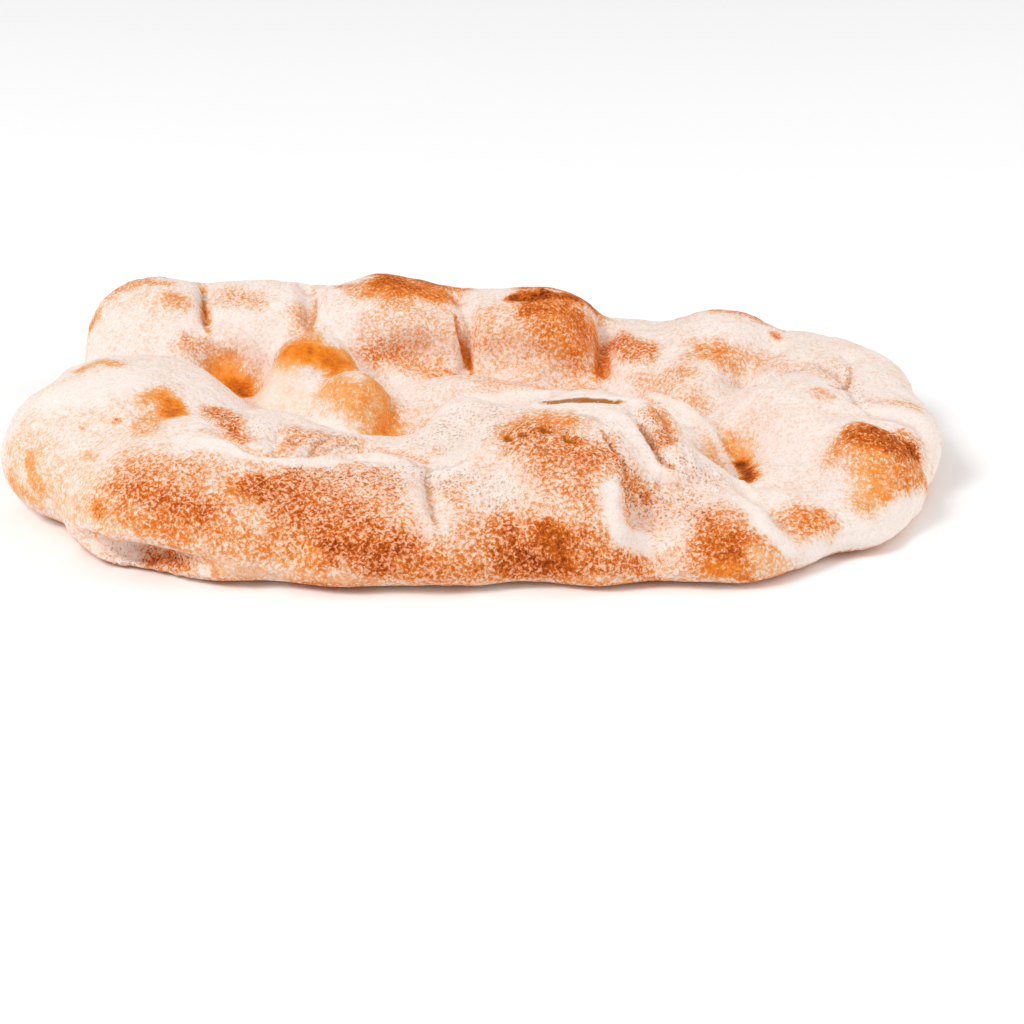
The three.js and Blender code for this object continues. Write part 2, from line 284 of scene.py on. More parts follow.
def dough(points):
    x0, y0, z = points.T
    x = x0 + drift(x0, y0, z, 0)
    y = y0 + drift(x0, y0, z, DRIFT_CROSS_TURN)
    depth = sheet(x, y, z)
    for sizes in ROLLS.values():
        depth = soft_min(depth, roll(x, y, z, *sizes), BLEND)
    for sizes in LOBES.values():
        depth = soft_min(depth, lobe(x, y, z, *sizes), BLEND)
    for at_x, at_y, at_z, a, b, c, turn, softness in HOLLOWS.values():
        along, across = turned(x - at_x, y - at_y, turn)
        depth = soft_max(depth, -ellipsoid(along, across, z - at_z, a, b, c), softness)
    for sizes in CREASES.values():
        depth = depth + crease(x, y, z, *sizes)
    return soft_max(depth, -z - SAG, LOWER_EDGE)


print("the field is", round(float(dough(np.array([[0.0, 0.0, 8.0]]))[0]), 1), "mm deep in the middle")

# %% [markdown]
# ## A skin of even squares
# The skin could be pulled from the field by marching cubes, but that leaves slivers. Here rays
# come in from outside towards a core oval inside the bread, and stop on the dough. First they fall
# straight down on to the top, in a square grid that is bent to the oval. Then they tip over the rim,
# band by band, until they come in level. The grid has no pole, and every square is about as large as
# its neighbour.

# %% Rays that stop on the dough
# a ray starts this far out, and takes steps of this share of its distance to the dough
FARTHEST = 70.0
CAREFUL = 0.8
LONGEST_STEP = 8.0
SHORTEST_STEP = 0.05
# near enough to halve the rest of the way, between a point this far inside and one this far outside
NEAR_ENOUGH = 0.02
BRACKET = (0.3, 0.8)
HALVINGS = 11


def stop_on_dough(starts, ways):
    reach = np.full(len(starts), FARTHEST)
    depth = dough(starts + ways * reach[:, None])
    live = np.ones(len(starts), bool)
    while live.any():
        step = np.clip(depth[live] * CAREFUL, SHORTEST_STEP, LONGEST_STEP)
        reach[live] = np.maximum(reach[live] - step, 0.0)
        depth[live] = dough(starts[live] + ways[live] * reach[live][:, None])
        live = (depth > NEAR_ENOUGH) & (reach > 0)
    inside, outside = reach - BRACKET[0], reach + BRACKET[1]
    for _ in range(HALVINGS):
        middle = (inside + outside) / 2
        deep = dough(starts + ways * middle[:, None]) < 0
        inside, outside = np.where(deep, middle, inside), np.where(deep, outside, middle)
    return starts + ways * ((inside + outside) / 2)[:, None]


def oval_grid(count):
    """A square grid of 2 x count squares a side, bent into a disc of radius 1."""
    line = np.arange(-count, count + 1) / count
    a, b = np.meshgrid(line, line, indexing="xy")
    wide = np.abs(a) > np.abs(b)
    radius = np.where(wide, a, b)
    safe_a, safe_b = np.where(a == 0, 1, a), np.where(b == 0, 1, b)
    angle = np.where(wide, math.pi / 4 * b / safe_a, math.pi / 2 - math.pi / 4 * a / safe_b)
    return (radius * np.cos(angle)).ravel(), (radius * np.sin(angle)).ravel()


def border(count):
    """The grid's outer points in one ring, counterclockwise."""
    side = 2 * count + 1
    right = [row * side + side - 1 for row in range(side - 1)]
    top = [(side - 1) * side + column for column in range(side - 1, 0, -1)]
    left = [row * side for row in range(side - 1, 0, -1)]
    bottom = list(range(side - 1))
    return np.array(bottom + right + top + left)


print("a ray ends within", round(sum(BRACKET) / 2**HALVINGS, 4), "mm of the dough")

# %% [markdown]
# ## The top, the rim and the underside
# The rim's rays start on the edge of the core oval. The upper rows tip from upright to level, and the
# lower rows stay level and start lower and lower, so that the last ring stands on the floor. From
# there the underside is filled in with smaller and smaller rings.

# %% The top and the rim
GRID = 98
RIM_ROWS = 46
UNDERSIDE_ROWS = 14
CORE_HALF = (116.0, 66.0)
CORE_HEIGHT = 11.0
CORE_FOOT = 2.0
LEVEL_SHARE = 0.28
grid_x, grid_y = oval_grid(GRID)
core_x, core_y = CORE_HALF[0] * grid_x, CORE_HALF[1] * grid_y
flat = np.zeros_like(core_x)
top_points = stop_on_dough(
    np.stack([core_x, core_y, flat + CORE_FOOT], 1), np.stack([flat, flat, flat + 1.0], 1)
)
ring = border(GRID)
out_x, out_y = core_x[ring] / CORE_HALF[0] ** 2, core_y[ring] / CORE_HALF[1] ** 2
out_length = np.hypot(out_x, out_y)
out_x, out_y = out_x / out_length, out_y / out_length
bands = [top_points]
for row in range(1, RIM_ROWS + 1):
    share = 1 - row / RIM_ROWS
    tip = max(share - LEVEL_SHARE, 0) / (1 - LEVEL_SHARE) * math.pi / 2
    height = CORE_HEIGHT * min(share / LEVEL_SHARE, 1)
    level = np.full(len(ring), 1.0)
    starts = np.stack([core_x[ring], core_y[ring], level * height], 1)
    ways = np.stack([out_x * math.cos(tip), out_y * math.cos(tip), level * math.sin(tip)], 1)
    bands.append(stop_on_dough(starts, ways))
print("the top has", len(top_points), "points, and each of the rim's", RIM_ROWS, "rows has", len(ring))

# %% [markdown]
# The underside's rings shrink towards one point in the middle. Then the squares are noted as four
# point numbers each, in an order that makes them face outwards: the grid's own squares, and between
# every two rings a band. The last ring closes with a fan of triangles.

# %% The underside and the squares
foot = bands[-1]
for row in range(1, UNDERSIDE_ROWS):
    bands.append(foot * [1 - row / UNDERSIDE_ROWS, 1 - row / UNDERSIDE_ROWS, 0])
bands.append(np.zeros((1, 3)))
skin = np.concatenate(bands)

side = 2 * GRID + 1
corner = (np.arange(side - 1)[:, None] * side + np.arange(side - 1)[None, :]).ravel()
squares = [np.stack([corner, corner + 1, corner + side + 1, corner + side], 1)]
upper = ring
for row in range(RIM_ROWS + UNDERSIDE_ROWS - 1):
    lower = side * side + row * len(ring) + np.arange(len(ring))
    squares.append(np.stack([upper, lower, np.roll(lower, -1), np.roll(upper, -1)], 1))
    upper = lower
squares = np.concatenate(squares)
last = len(skin) - 1
fan = np.stack([upper, np.full(len(ring), last), np.roll(upper, -1)], 1)
print(len(skin), "points,", 2 * len(squares) + len(fan), "triangles")

# %% [markdown]
# ## Relaxing the skin
# On a steep wall the squares are stretched. A few rounds of relaxing even them out: each point
# moves to the middle of its neighbours, and then back on to the dough along the field's own slope.
# The ring on the floor and the underside are held.

# %% Relax, then put back on the dough
RELAX_ROUNDS = 8
# the field's slope is read over a nudge, and isn't trusted when it is flatter than this
NUDGE = 0.05
FLATTEST = 0.2
LONGEST_RETURN = 1.5
pairs = np.concatenate([squares[:, [start, (start + 1) % 4]] for start in range(4)])
pairs = np.unique(np.sort(pairs, 1), axis=0)
held = np.arange(len(skin)) >= side * side + (RIM_ROWS - 1) * len(ring)


def neighbours_mean(values):
    count = np.bincount(pairs.ravel(), minlength=len(skin))
    total = np.zeros_like(values)
    for axis in range(values.shape[1]):
        first = np.bincount(pairs[:, 0], values[pairs[:, 1], axis], len(skin))
        second = np.bincount(pairs[:, 1], values[pairs[:, 0], axis], len(skin))
        total[:, axis] = first + second
    return total / np.maximum(count, 1)[:, None]


def back_on_dough(points):
    depth = dough(points)
    slope = np.stack([(dough(points + NUDGE * axis) - depth) / NUDGE for axis in np.eye(3)], 1)
    step = depth / np.maximum((slope**2).sum(1), FLATTEST)
    step = np.clip(step, -LONGEST_RETURN, LONGEST_RETURN)
    return points - slope * step[:, None]


for _ in range(RELAX_ROUNDS):
    eased = (skin + neighbours_mean(skin)) / 2
    eased[~held] = back_on_dough(eased[~held])
    skin = np.where(held[:, None], skin, eased)
eased = back_on_dough(skin)
skin = np.where(held[:, None], skin, eased)
print("the skin is off the dough by", round(float(np.abs(dough(skin[~held])).max()), 2), "mm at most")

# %% [markdown]
# ## The measured size
# The field was drawn at about the right size. Now the skin is centred and scaled so that its sides are
# the measured ones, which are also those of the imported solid.

# %% Fit to the measured size, as the solid is
low, high = skin.min(0), skin.max(0)
middle = (low + high) / 2 * [1, 1, 0]
skin = (skin - middle) * [LENGTH, DEPTH, HEIGHT] / (high - low)
print("the skin's sides are", (skin.max(0) - skin.min(0)).round(1), "mm")


# %% [markdown]
# ## Normals and cavities
# Wrinkles are pressed in along the skin's normals. A point's normal is the mean of its squares'
# normals. How deep a point lies is told by a copy of the skin that is smoothed many times: in a
# hollow, the smoothed copy lies above the true skin.

# %% Normals and cavities
def normals(points):
    quad = points[squares]
    turn = np.cross(quad[:, 2] - quad[:, 0], quad[:, 3] - quad[:, 1])
    total = np.zeros_like(points)
    for corner_index in range(4):
        for axis in range(3):
            total[:, axis] += np.bincount(squares[:, corner_index], turn[:, axis], len(points))
    total[last] = (0, 0, -1)
    return total / np.maximum(np.linalg.norm(total, axis=1), TINY)[:, None]


CAVITY_ROUNDS = 40
outward = normals(skin)
blurred = skin.copy()
for _ in range(CAVITY_ROUNDS):
    blurred = neighbours_mean(blurred)
cavity = ((blurred - skin) * outward).sum(1)
cavity[held] = 0
print("the hollows lie up to", round(float(cavity.max()), 1), "mm below their surroundings")

# %% [markdown]
# ## Finding a mark on the crust
# Every wrinkle and brown patch is noted by where it is seen: a few pixels in the photograph, or a
# place from above or from behind for the side that the photograph hides. A ray goes out through
# each, and the point where it meets the skin is where the mark lies, from whatever side it is seen.

# %% Sight lines
skin_tree = BVHTree.FromPolygons(skin.tolist(), squares.tolist() + fan.tolist())
# rays go out this many pixels apart, or this many millimetres apart from above and behind
PIXEL_STEP = 3.0
PLAN_STEP = 1.5
# two hits in a row that lie farther apart than this aren't on one line
LONGEST_SLIP = 14.0


def line_of(points, spacing):
    """Even steps along a line of points."""
    steps = [np.array(points[0], float)]
    for start, end in zip(points[:-1], points[1:]):
        start, end = np.array(start, float), np.array(end, float)
        count = max(1, round(float(np.hypot(*(end - start))) / spacing))
        steps += [start + (end - start) * index / count for index in range(1, count + 1)]
    return steps


def seen_in_photo(pixels, spacing=PIXEL_STEP):
    """Where the sight lines through a line of pixels meet the skin."""
    found = []
    for px, py in line_of(pixels, spacing):
        scale = SENSOR_MM / LENS_MM / PHOTO_PIXELS
        way = Vector(((px - MIDDLE_PIXEL[0]) * scale, (MIDDLE_PIXEL[1] - py) * scale, -1.0))
        hit = skin_tree.ray_cast(CAMERA_PLACE, (camera_turn @ way).normalized())[0]
        if hit:
            found.append(hit)
    return np.array(found)


def one_run(hits):
    """The longest run of hits without a jump: a ray may slip over a ridge on to the dough behind."""
    run = np.cumsum(np.append(0, np.linalg.norm(np.diff(hits, axis=0), axis=1) > LONGEST_SLIP))
    return hits[run == np.bincount(run).argmax()]


print("the middle of the picture looks at", seen_in_photo([MIDDLE_PIXEL]).round(1).tolist())

# %% [markdown]
# The hidden sides are marked in the same way, with rays that fall from above or come in from behind.
# Then one helper finds the points of the skin near such a line.

# %% From above, from behind, and near a line
ABOVE = 100.0
BEHIND = 200.0


def seen_from_above(places):
    down = Vector((0, 0, -1))
    hits = [
        skin_tree.ray_cast(Vector((x, y, ABOVE)), down)[0] for x, y in line_of(places, PLAN_STEP)
    ]
    return np.array([hit for hit in hits if hit])


def seen_from_behind(places):
    forward = Vector((0, -1, 0))
    hits = [
        skin_tree.ray_cast(Vector((x, BEHIND, z)), forward)[0] for x, z in line_of(places, PLAN_STEP)
    ]
    return np.array([hit for hit in hits if hit])


def near_line(points, line, reach):
    """Which points lie within reach of a line, how far from it, and how far along it."""
    inside = ((points > line.min(0) - reach) & (points < line.max(0) + reach)).all(1)
    chosen = np.nonzero(inside)[0]
    gaps = np.linalg.norm(points[chosen][:, None, :] - line[None, :, :], axis=2)
    nearest = gaps.argmin(1)
    return chosen, gaps.min(1), nearest / max(len(line) - 1, 1)


print("in the middle the skin is", round(float(seen_from_above([(0, 0)])[0][2]), 1), "mm high")

# %% [markdown]
# ## Wrinkles, slits and cracks
# Under the big folds lies a second layer of relief: the line where two lobes part, the slit
# that opened on the dome, the cracks in its brown top and the wrinkles beside the folds. Each is
# a line on the skin with a width and a depth, and it is pressed in along the skin's own normal.

# %% Lines on the back lobes
# pixels along the line, half width, depth (a negative depth is a raised edge)
LINES = {
    "left back crease": ([(203, 288), (205, 308), (208, 332)], 1.5, 2.0),
    "second back crease": ([(314, 290), (312, 314), (309, 336)], 2.2, 1.6),
    "third back crease": ([(456, 316), (461, 338), (471, 374)], 1.5, 2.6),
    "lip of third crease": ([(451, 314), (454, 338), (463, 372)], 1.8, -1.2),
    "fourth back crease": ([(597, 318), (603, 340), (605, 380)], 1.8, 2.2),
    "flap on scorched lobe": ([(512, 297), (528, 297), (546, 294)], 1.8, 1.7),
    "edge of the flap": ([(510, 292), (530, 292), (548, 290)], 1.5, -1.0),
}
print(len(LINES), "lines on the back lobes")

# %% [markdown]
# The dome at the front is the highest lobe. Its skin opened in one long slit and a few short cracks,
# and it slumped to the right in wrinkles and a hollow. The slit's back wall is a line of its own,
# because that wall is what shows.

# %% Lines on the dome
DOME_LINES = {
    "slit on the dome": ([(539, 402), (560, 401), (582, 400), (602, 400), (623, 401)], 1.5, 3.2),
    "lip of the slit": ([(540, 395), (575, 391), (612, 393)], 1.6, -1.1),
    "back wall of the slit": ([(541, 401), (560, 399), (582, 398), (604, 398), (621, 400)], 1.2, 0.4),
    "first crack": ([(504, 436), (513, 439)], 1.1, 1.9),
    "crack beside the first": ([(518, 434), (531, 432)], 1.1, 1.9),
    "second crack": ([(540, 428), (551, 432)], 1.1, 1.9),
    "third crack": ([(564, 436), (573, 443)], 1.1, 1.5),
    "fourth crack": ([(536, 446), (548, 452)], 1.0, 0.9),
    "front notch": ([(426, 468), (429, 484), (432, 502), (436, 524)], 1.7, 2.2),
    "below the notch": ([(440, 524), (447, 542), (452, 560)], 1.4, 0.8),
    "shoulder wrinkle": ([(640, 424), (648, 436), (655, 450), (663, 463), (672, 468)], 1.3, 1.5),
    "shoulder wrinkle beside": ([(655, 410), (664, 417), (670, 430), (672, 445)], 1.3, 1.3),
    "shoulder ridge": (
        [(602, 407), (627, 421), (640, 441), (649, 459), (662, 472), (690, 480)], 2.2, -1.3,
    ),
    "shoulder valley": ([(612, 440), (628, 458), (640, 474)], 2.2, 1.2),
    "dome wrinkle": ([(602, 432), (613, 444), (626, 458), (627, 482)], 1.2, 1.5),
    "dome wrinkle above": ([(570, 412), (590, 414), (606, 424)], 1.3, 0.9),
    "left wall of front hollow": ([(616, 480), (613, 504), (616, 526), (630, 540)], 2.4, -1.4),
    "shade of front hollow": ([(629, 478), (630, 502), (631, 526)], 2.2, 1.8),
    "foot of front hollow": ([(632, 536), (655, 541), (680, 552)], 1.8, -0.9),
}
print(len(DOME_LINES), "lines on the dome")

# %% [markdown]
# To the left, two bubbles stand in the middle of the bread, and a long ridge runs along the edge of
# the front face. A valley and a fine line lie behind the ridge.

# %% Lines in the middle and along the front ridge
LEFT_LINES = {
    "bubble brow": ([(306, 374), (322, 375), (340, 370), (356, 368)], 1.7, 2.0),
    "foot of small bubble": ([(392, 398), (396, 418), (388, 436)], 2.4, 1.8),
    "foot of bubble": ([(251, 398), (258, 380), (268, 360)], 2.4, 1.4),
    "toe of back left lobe": ([(165, 334), (190, 330), (204, 336), (216, 341), (234, 352)], 2.6, -1.3),
    "saddle wrinkle": ([(305, 457), (318, 443), (336, 430)], 1.4, 1.4),
    "saddle wrinkle below": ([(322, 449), (345, 442), (366, 445)], 1.3, 0.9),
    "saddle dip": ([(282, 424), (276, 444), (284, 454)], 2.2, 1.3),
    "crest of front ridge": (
        [(196, 437), (225, 441), (238, 451), (252, 457), (305, 459), (336, 457), (370, 454), (395, 457),
         (412, 463), (430, 470), (450, 468), (470, 458)],
        1.5, -1.2,
    ),
    "valley behind front ridge": (
        [(205, 430), (228, 435), (243, 446), (262, 452), (305, 453), (345, 450), (380, 447), (402, 451),
         (425, 462)],
        2.4, 1.6,
    ),
    "line behind front ridge": (
        [(232, 442), (240, 450), (248, 455), (270, 456), (306, 457), (330, 455), (352, 452), (392, 452),
         (404, 458), (416, 466), (430, 470), (450, 468), (468, 460)],
        1.1, 0.9,
    ),
    "dent, first crumple": ([(446, 434), (452, 420), (462, 409)], 1.3, 0.9),
    "dent, second crumple": ([(457, 442), (466, 427), (478, 414)], 1.3, 0.9),
    "dent, third crumple": ([(470, 446), (482, 430), (492, 420)], 1.3, 0.8),
}
print(len(LEFT_LINES), "lines in the middle and along the front ridge")

# %% [markdown]
# At the right end the skin folds over a brown cap, and the edge bulges out beside it. Under the left
# end the lip is wrinkled.

# %% Lines at the right end and under the lip
END_LINES = {
    "right fold wrinkle": ([(813, 362), (835, 371), (850, 388), (860, 406)], 2.2, 2.0),
    "valley beyond right dome": ([(735, 384), (762, 380), (789, 367), (813, 362)], 2.6, 2.2),
    "fold over right cap": (
        [(858, 406), (873, 416), (893, 420), (912, 430), (921, 446), (923, 464)], 1.6, 1.3,
    ),
    "bulge of the right edge": ([(912, 400), (926, 430), (930, 455), (925, 482), (912, 502)], 11.0, -2.3),
    "hood of right cap": ([(862, 410), (893, 414), (918, 426), (928, 446), (930, 466)], 2.2, -0.5),
    "right edge wrinkle": ([(838, 352), (862, 366), (878, 384)], 1.6, 0.8),
    "pucker": ([(832, 386), (843, 386), (850, 379), (850, 369)], 1.4, 2.0),
    "cap foot wrinkle": ([(872, 498), (880, 512), (876, 522)], 1.4, 0.8),
    "cap foot wrinkle beside": ([(888, 500), (896, 512)], 1.4, 0.8),
    "front corner line": ([(757, 498), (768, 514), (784, 524)], 1.8, 1.2),
    "front corner edge": (
        [(648, 394), (682, 406), (709, 426), (722, 453), (739, 480), (756, 500), (764, 522), (784, 546)],
        2.0, -1.1,
    ),
    "valley inside corner edge": ([(676, 414), (694, 430), (706, 454), (722, 478), (738, 502)], 2.6, 1.0),
    "under-lip wrinkle": ([(110, 548), (130, 556), (160, 562)], 1.8, 1.4),
    "under-lip wrinkle above": ([(122, 540), (150, 546), (176, 556)], 1.6, 0.9),
}
print(len(END_LINES), "lines at the ends")

# %% [markdown]
# Each line is pressed in with the profile of a bell, so its walls are soft, and it fades at its ends.

# %% Press the lines into the skin
LINES = LINES | DOME_LINES | LEFT_LINES | END_LINES
# how far out a line is felt, in half widths, and how deep its very end still is
REACH = 2.5
BLUNT_END = 0.15
smooth_skin = skin
lift = np.zeros(len(skin))
for name, (pixels, half_width, depth) in LINES.items():
    line = one_run(seen_in_photo(pixels))
    chosen, gap, share = near_line(skin, line, REACH * half_width)
    ends = ease(np.minimum(share, 1 - share) / CREASE_END_SHARE + BLUNT_END)
    lift[chosen] -= depth * ends * np.exp(-((gap / half_width) ** 2))
print(len(LINES), "lines press the skin in by up to", round(float(-lift.min()), 1), "mm")


# %% [markdown]
# ## The roughness of the skin
# Baked dough is never smooth between its folds. It has slow lumps a thumb wide, pimples a few
# millimetres across, and where flour was rubbed in, a crumpled skin. Noise moves the points
# along their normals, and the underside, which lay on the oven floor, keeps only shallow dips.

# %% Lumps and pimples
def rough(points, size, octaves, shift):
    """Soft noise of about -1 to 1 with lumps of the given size. The shift picks a part of the noise."""
    places = (Vector(point) / size + Vector(shift) for point in points.tolist())
    return np.array([noise.fractal(place, 1.0, 2.0, octaves) for place in places])


LUMP_MM, LUMP_RISE = 13.0, 0.55
PIMPLE_MM, PIMPLE_RISE = 3.6, 0.28
# the lowest few millimetres stay smoother, so that the bread still rests on its foot
ROUGH_FROM_MM = 4
lumps = rough(skin, LUMP_MM, 2, (3.1, 1.7, 8.2))
pimples = rough(skin, PIMPLE_MM, 2, (7.4, 2.9, 5.5))
clear_of_floor = ease(skin[:, 2] / ROUGH_FROM_MM)
lift += (LUMP_RISE * lumps + PIMPLE_RISE * pimples) * clear_of_floor
print("lumps and pimples rise by up to", LUMP_RISE + PIMPLE_RISE, "mm")

# %% [markdown]
# In a few places the floury skin was pushed together while it was still soft. It dried in crumples
# about two millimetres wide, which are laid over the skin near a line, and fade at their edge.

# %% Crumpled places
# pixels along the place, reach in mm
CRUMPLED = (
    ([(440, 440), (465, 420), (500, 410)], 12),
    ([(640, 425), (668, 450), (712, 478)], 9),
    ([(868, 430), (905, 445), (890, 470)], 9),
    ([(210, 415), (290, 440), (350, 438)], 8),
    ([(505, 430), (570, 436)], 9),
    ([(120, 550), (175, 560)], 8),
    ([(380, 472), (470, 480), (500, 500)], 9),
    ([(602, 430), (640, 495), (700, 510)], 10),
    ([(832, 366), (860, 400)], 8),
    ([(300, 472), (380, 474)], 6),
)
CRUMPLE_MM, CRUMPLE_RISE = 2.4, 0.9
# a place is crumpled in full up to a third of its reach
CRUMPLE_FADE = 1.5
crumpled = np.zeros(len(skin))
for pixels, reach in CRUMPLED:
    chosen, gap, _ = near_line(skin, seen_in_photo(pixels), reach)
    weight = ease(CRUMPLE_FADE - CRUMPLE_FADE * gap / reach)
    crumpled[chosen] = np.maximum(crumpled[chosen], weight)
lift += CRUMPLE_RISE * rough(skin, CRUMPLE_MM, 2, (5.5, 3.3, 0.7)) * crumpled
skin = skin + outward * lift[:, None]
print("lines, lumps and crumples move the skin by", lift.min().round(1), "to", lift.max().round(1), "mm")

# %% [markdown]
# The underside lay on the oven's floor. It is flat, but for shallow dips where steam kept it off.

# %% Dips in the underside
DIP_MM, DIP_RISE = 9.0, 0.5
# more of the underside dips with a larger share, and the first rows from the rim stay flat
DIP_SHARE = 0.2
DIP_FADE = 8
dips = np.maximum(rough(skin[held] * [1, 1, 0], DIP_MM, 2, (0.3, 4.4, 2.0)) + DIP_SHARE, 0)
rows = np.repeat(np.arange(UNDERSIDE_ROWS + 1), [len(ring)] * UNDERSIDE_ROWS + [1])
from_rim = 1 - rows / UNDERSIDE_ROWS
skin[held, 2] = DIP_RISE * dips * ease((1 - from_rim) * DIP_FADE)
skin[:, 2] = np.maximum(skin[:, 2], 0)
outward = normals(skin)
print("with its roughness the skin's sides are", (skin.max(0) - skin.min(0)).round(1), "mm")

# %% [markdown]
# ## Where it browned and where the flour lies
# Three values are painted on every point: how far the crust browned, how thickly flour covers it,
# and how amber it is, where a blister's thin skin shone through. They are laid on as a painter
# would: first broad washes, then patches, then the white ridges. Each stroke is a line with a
# soft edge, found on the crust in the same way as the wrinkles. In pits, valleys, hollows and folds
# these values also carry painted shade, and at the right lower edge a painted lift of light.

# %% Broad washes
# pixels along the stroke, radius in mm, browned, floured, amber
STROKES = {
    "front face": (
        [(110, 490), (200, 505), (300, 515), (420, 525), (560, 520), (700, 540)], 14, 0.40, 0.52, 0.1,
    ),
    "front face, upper": ([(125, 465), (200, 470), (300, 478), (400, 480)], 7, 0.36, 0.55, 0.0),
    "lower left lobe": ([(30, 450), (70, 490), (100, 500)], 12, 0.3, 0.45, 0.3),
    "left lobe": ([(60, 400), (110, 440)], 14, 0.2, 0.55, 0.2),
    "hump": ([(420, 400), (460, 392)], 7, 0.18, 0.55, 0.0),
    "middle back lobe": ([(385, 318), (430, 330), (410, 350)], 9, 0.34, 0.5, 0.0),
    "scorched lobe": ([(490, 330), (560, 345)], 12, 0.36, 0.52, 0.1),
    "left middle back lobe": ([(228, 296), (250, 300)], 5, 0.4, 0.52, 0.0),
    # painted shade in the valley between the back lobes
    "painted shade in the second back valley": ([(300, 312), (306, 334)], 4.5, 0.38, 0.45, 0.15),
    "above left pit": ([(186, 342), (200, 353), (214, 366)], 4, 0.42, 0.5, 0.0),
    # painted shade in the left pit, on its bare amber skin
    "left pit": ([(216, 360), (236, 370)], 6, 0.36, 0.4, 0.2),
    "saddle": ([(296, 430), (350, 440)], 5, 0.36, 0.55, 0.0),
    # the next three strokes are painted shade in the valleys beside the right dome and the scorched lobe
    "beyond right dome": ([(750, 358), (790, 366), (825, 372)], 5, 0.28, 0.5, 0.0),
    "painted shade in the valley by the scorched lobe": ([(641, 378), (660, 388)], 4, 0.34, 0.5, 0.0),
    "painted shade in the valley by the right dome": ([(686, 398), (700, 408)], 4, 0.32, 0.5, 0.1),
    # painted shade in the right pit, on its bare amber skin
    "right pit, upper": ([(718, 440), (738, 462)], 6, 0.3, 0.45, 0.4),
}
print(len(STROKES), "broad washes")

# %% [markdown]
# The back rolls stand highest and faced the oven's heat, so their tops are the brownest places. One
# lobe is scorched along its crest.

# %% Patches on the back rolls
STROKES |= {
    "left crest": ([(130, 284), (150, 282), (168, 284)], 2.8, 0.48, 0.4, 0.3),
    "left lobe's tint": ([(138, 297), (160, 304)], 6, 0.25, 0.5, 0.2),
    "left spot": ([(172, 298), (184, 302)], 3.2, 0.44, 0.4, 0.2),
    "left outline": ([(84, 350), (88, 330), (98, 310)], 2.4, 0.5, 0.3, 0.2),
    "middle lobe's brown top": ([(376, 286), (398, 290), (434, 293)], 6.5, 0.64, 0.26, 0.4),
    "middle lobe's core": ([(386, 282), (412, 286)], 3.2, 0.76, 0.15, 0.2),
    "middle lobe's left spot": ([(342, 286), (356, 288)], 3, 0.5, 0.4, 0.0),
    "middle lobe's foot": ([(372, 350), (392, 352)], 4, 0.5, 0.48, 0.0),
    "middle lobe's right foot": ([(406, 366), (450, 374)], 3.5, 0.44, 0.5, 0.1),
    "scorched lobe's top": ([(535, 302), (565, 312), (580, 322)], 7, 0.68, 0.28, 0.25),
    "scorched lobe's side": ([(552, 330), (578, 345)], 6, 0.62, 0.36, 0.25),
    "scorched lobe's crest": ([(518, 297), (545, 295), (574, 298)], 3.0, 0.86, 0.05, 0.1),
    "scorched lobe's right edge": ([(592, 322), (598, 345), (599, 372)], 2.6, 0.56, 0.25, 0.6),
    "saddle patch at the back": ([(614, 342), (640, 350)], 5.5, 0.6, 0.42, 0.0),
    "right lobe's patch": ([(704, 350), (722, 356)], 6, 0.46, 0.4, 0.2),
    "right lobe's core": ([(708, 349), (722, 356)], 3.4, 0.53, 0.34, 0.3),
    "right lobe's small spot": ([(774, 334), (778, 336)], 2, 0.5, 0.4, 0.0),
}
print(len(STROKES), "strokes with the back rolls")

# %% [markdown]
# The bubbles have a thin, shiny skin without flour, which turns amber. The pits have it too, because
# no flour stuck to their steep walls. On top of it the pits' strokes grow browner towards the bottom as
# painted shade, and the small bubble's right side is painted darker as the side turned from the lamp.

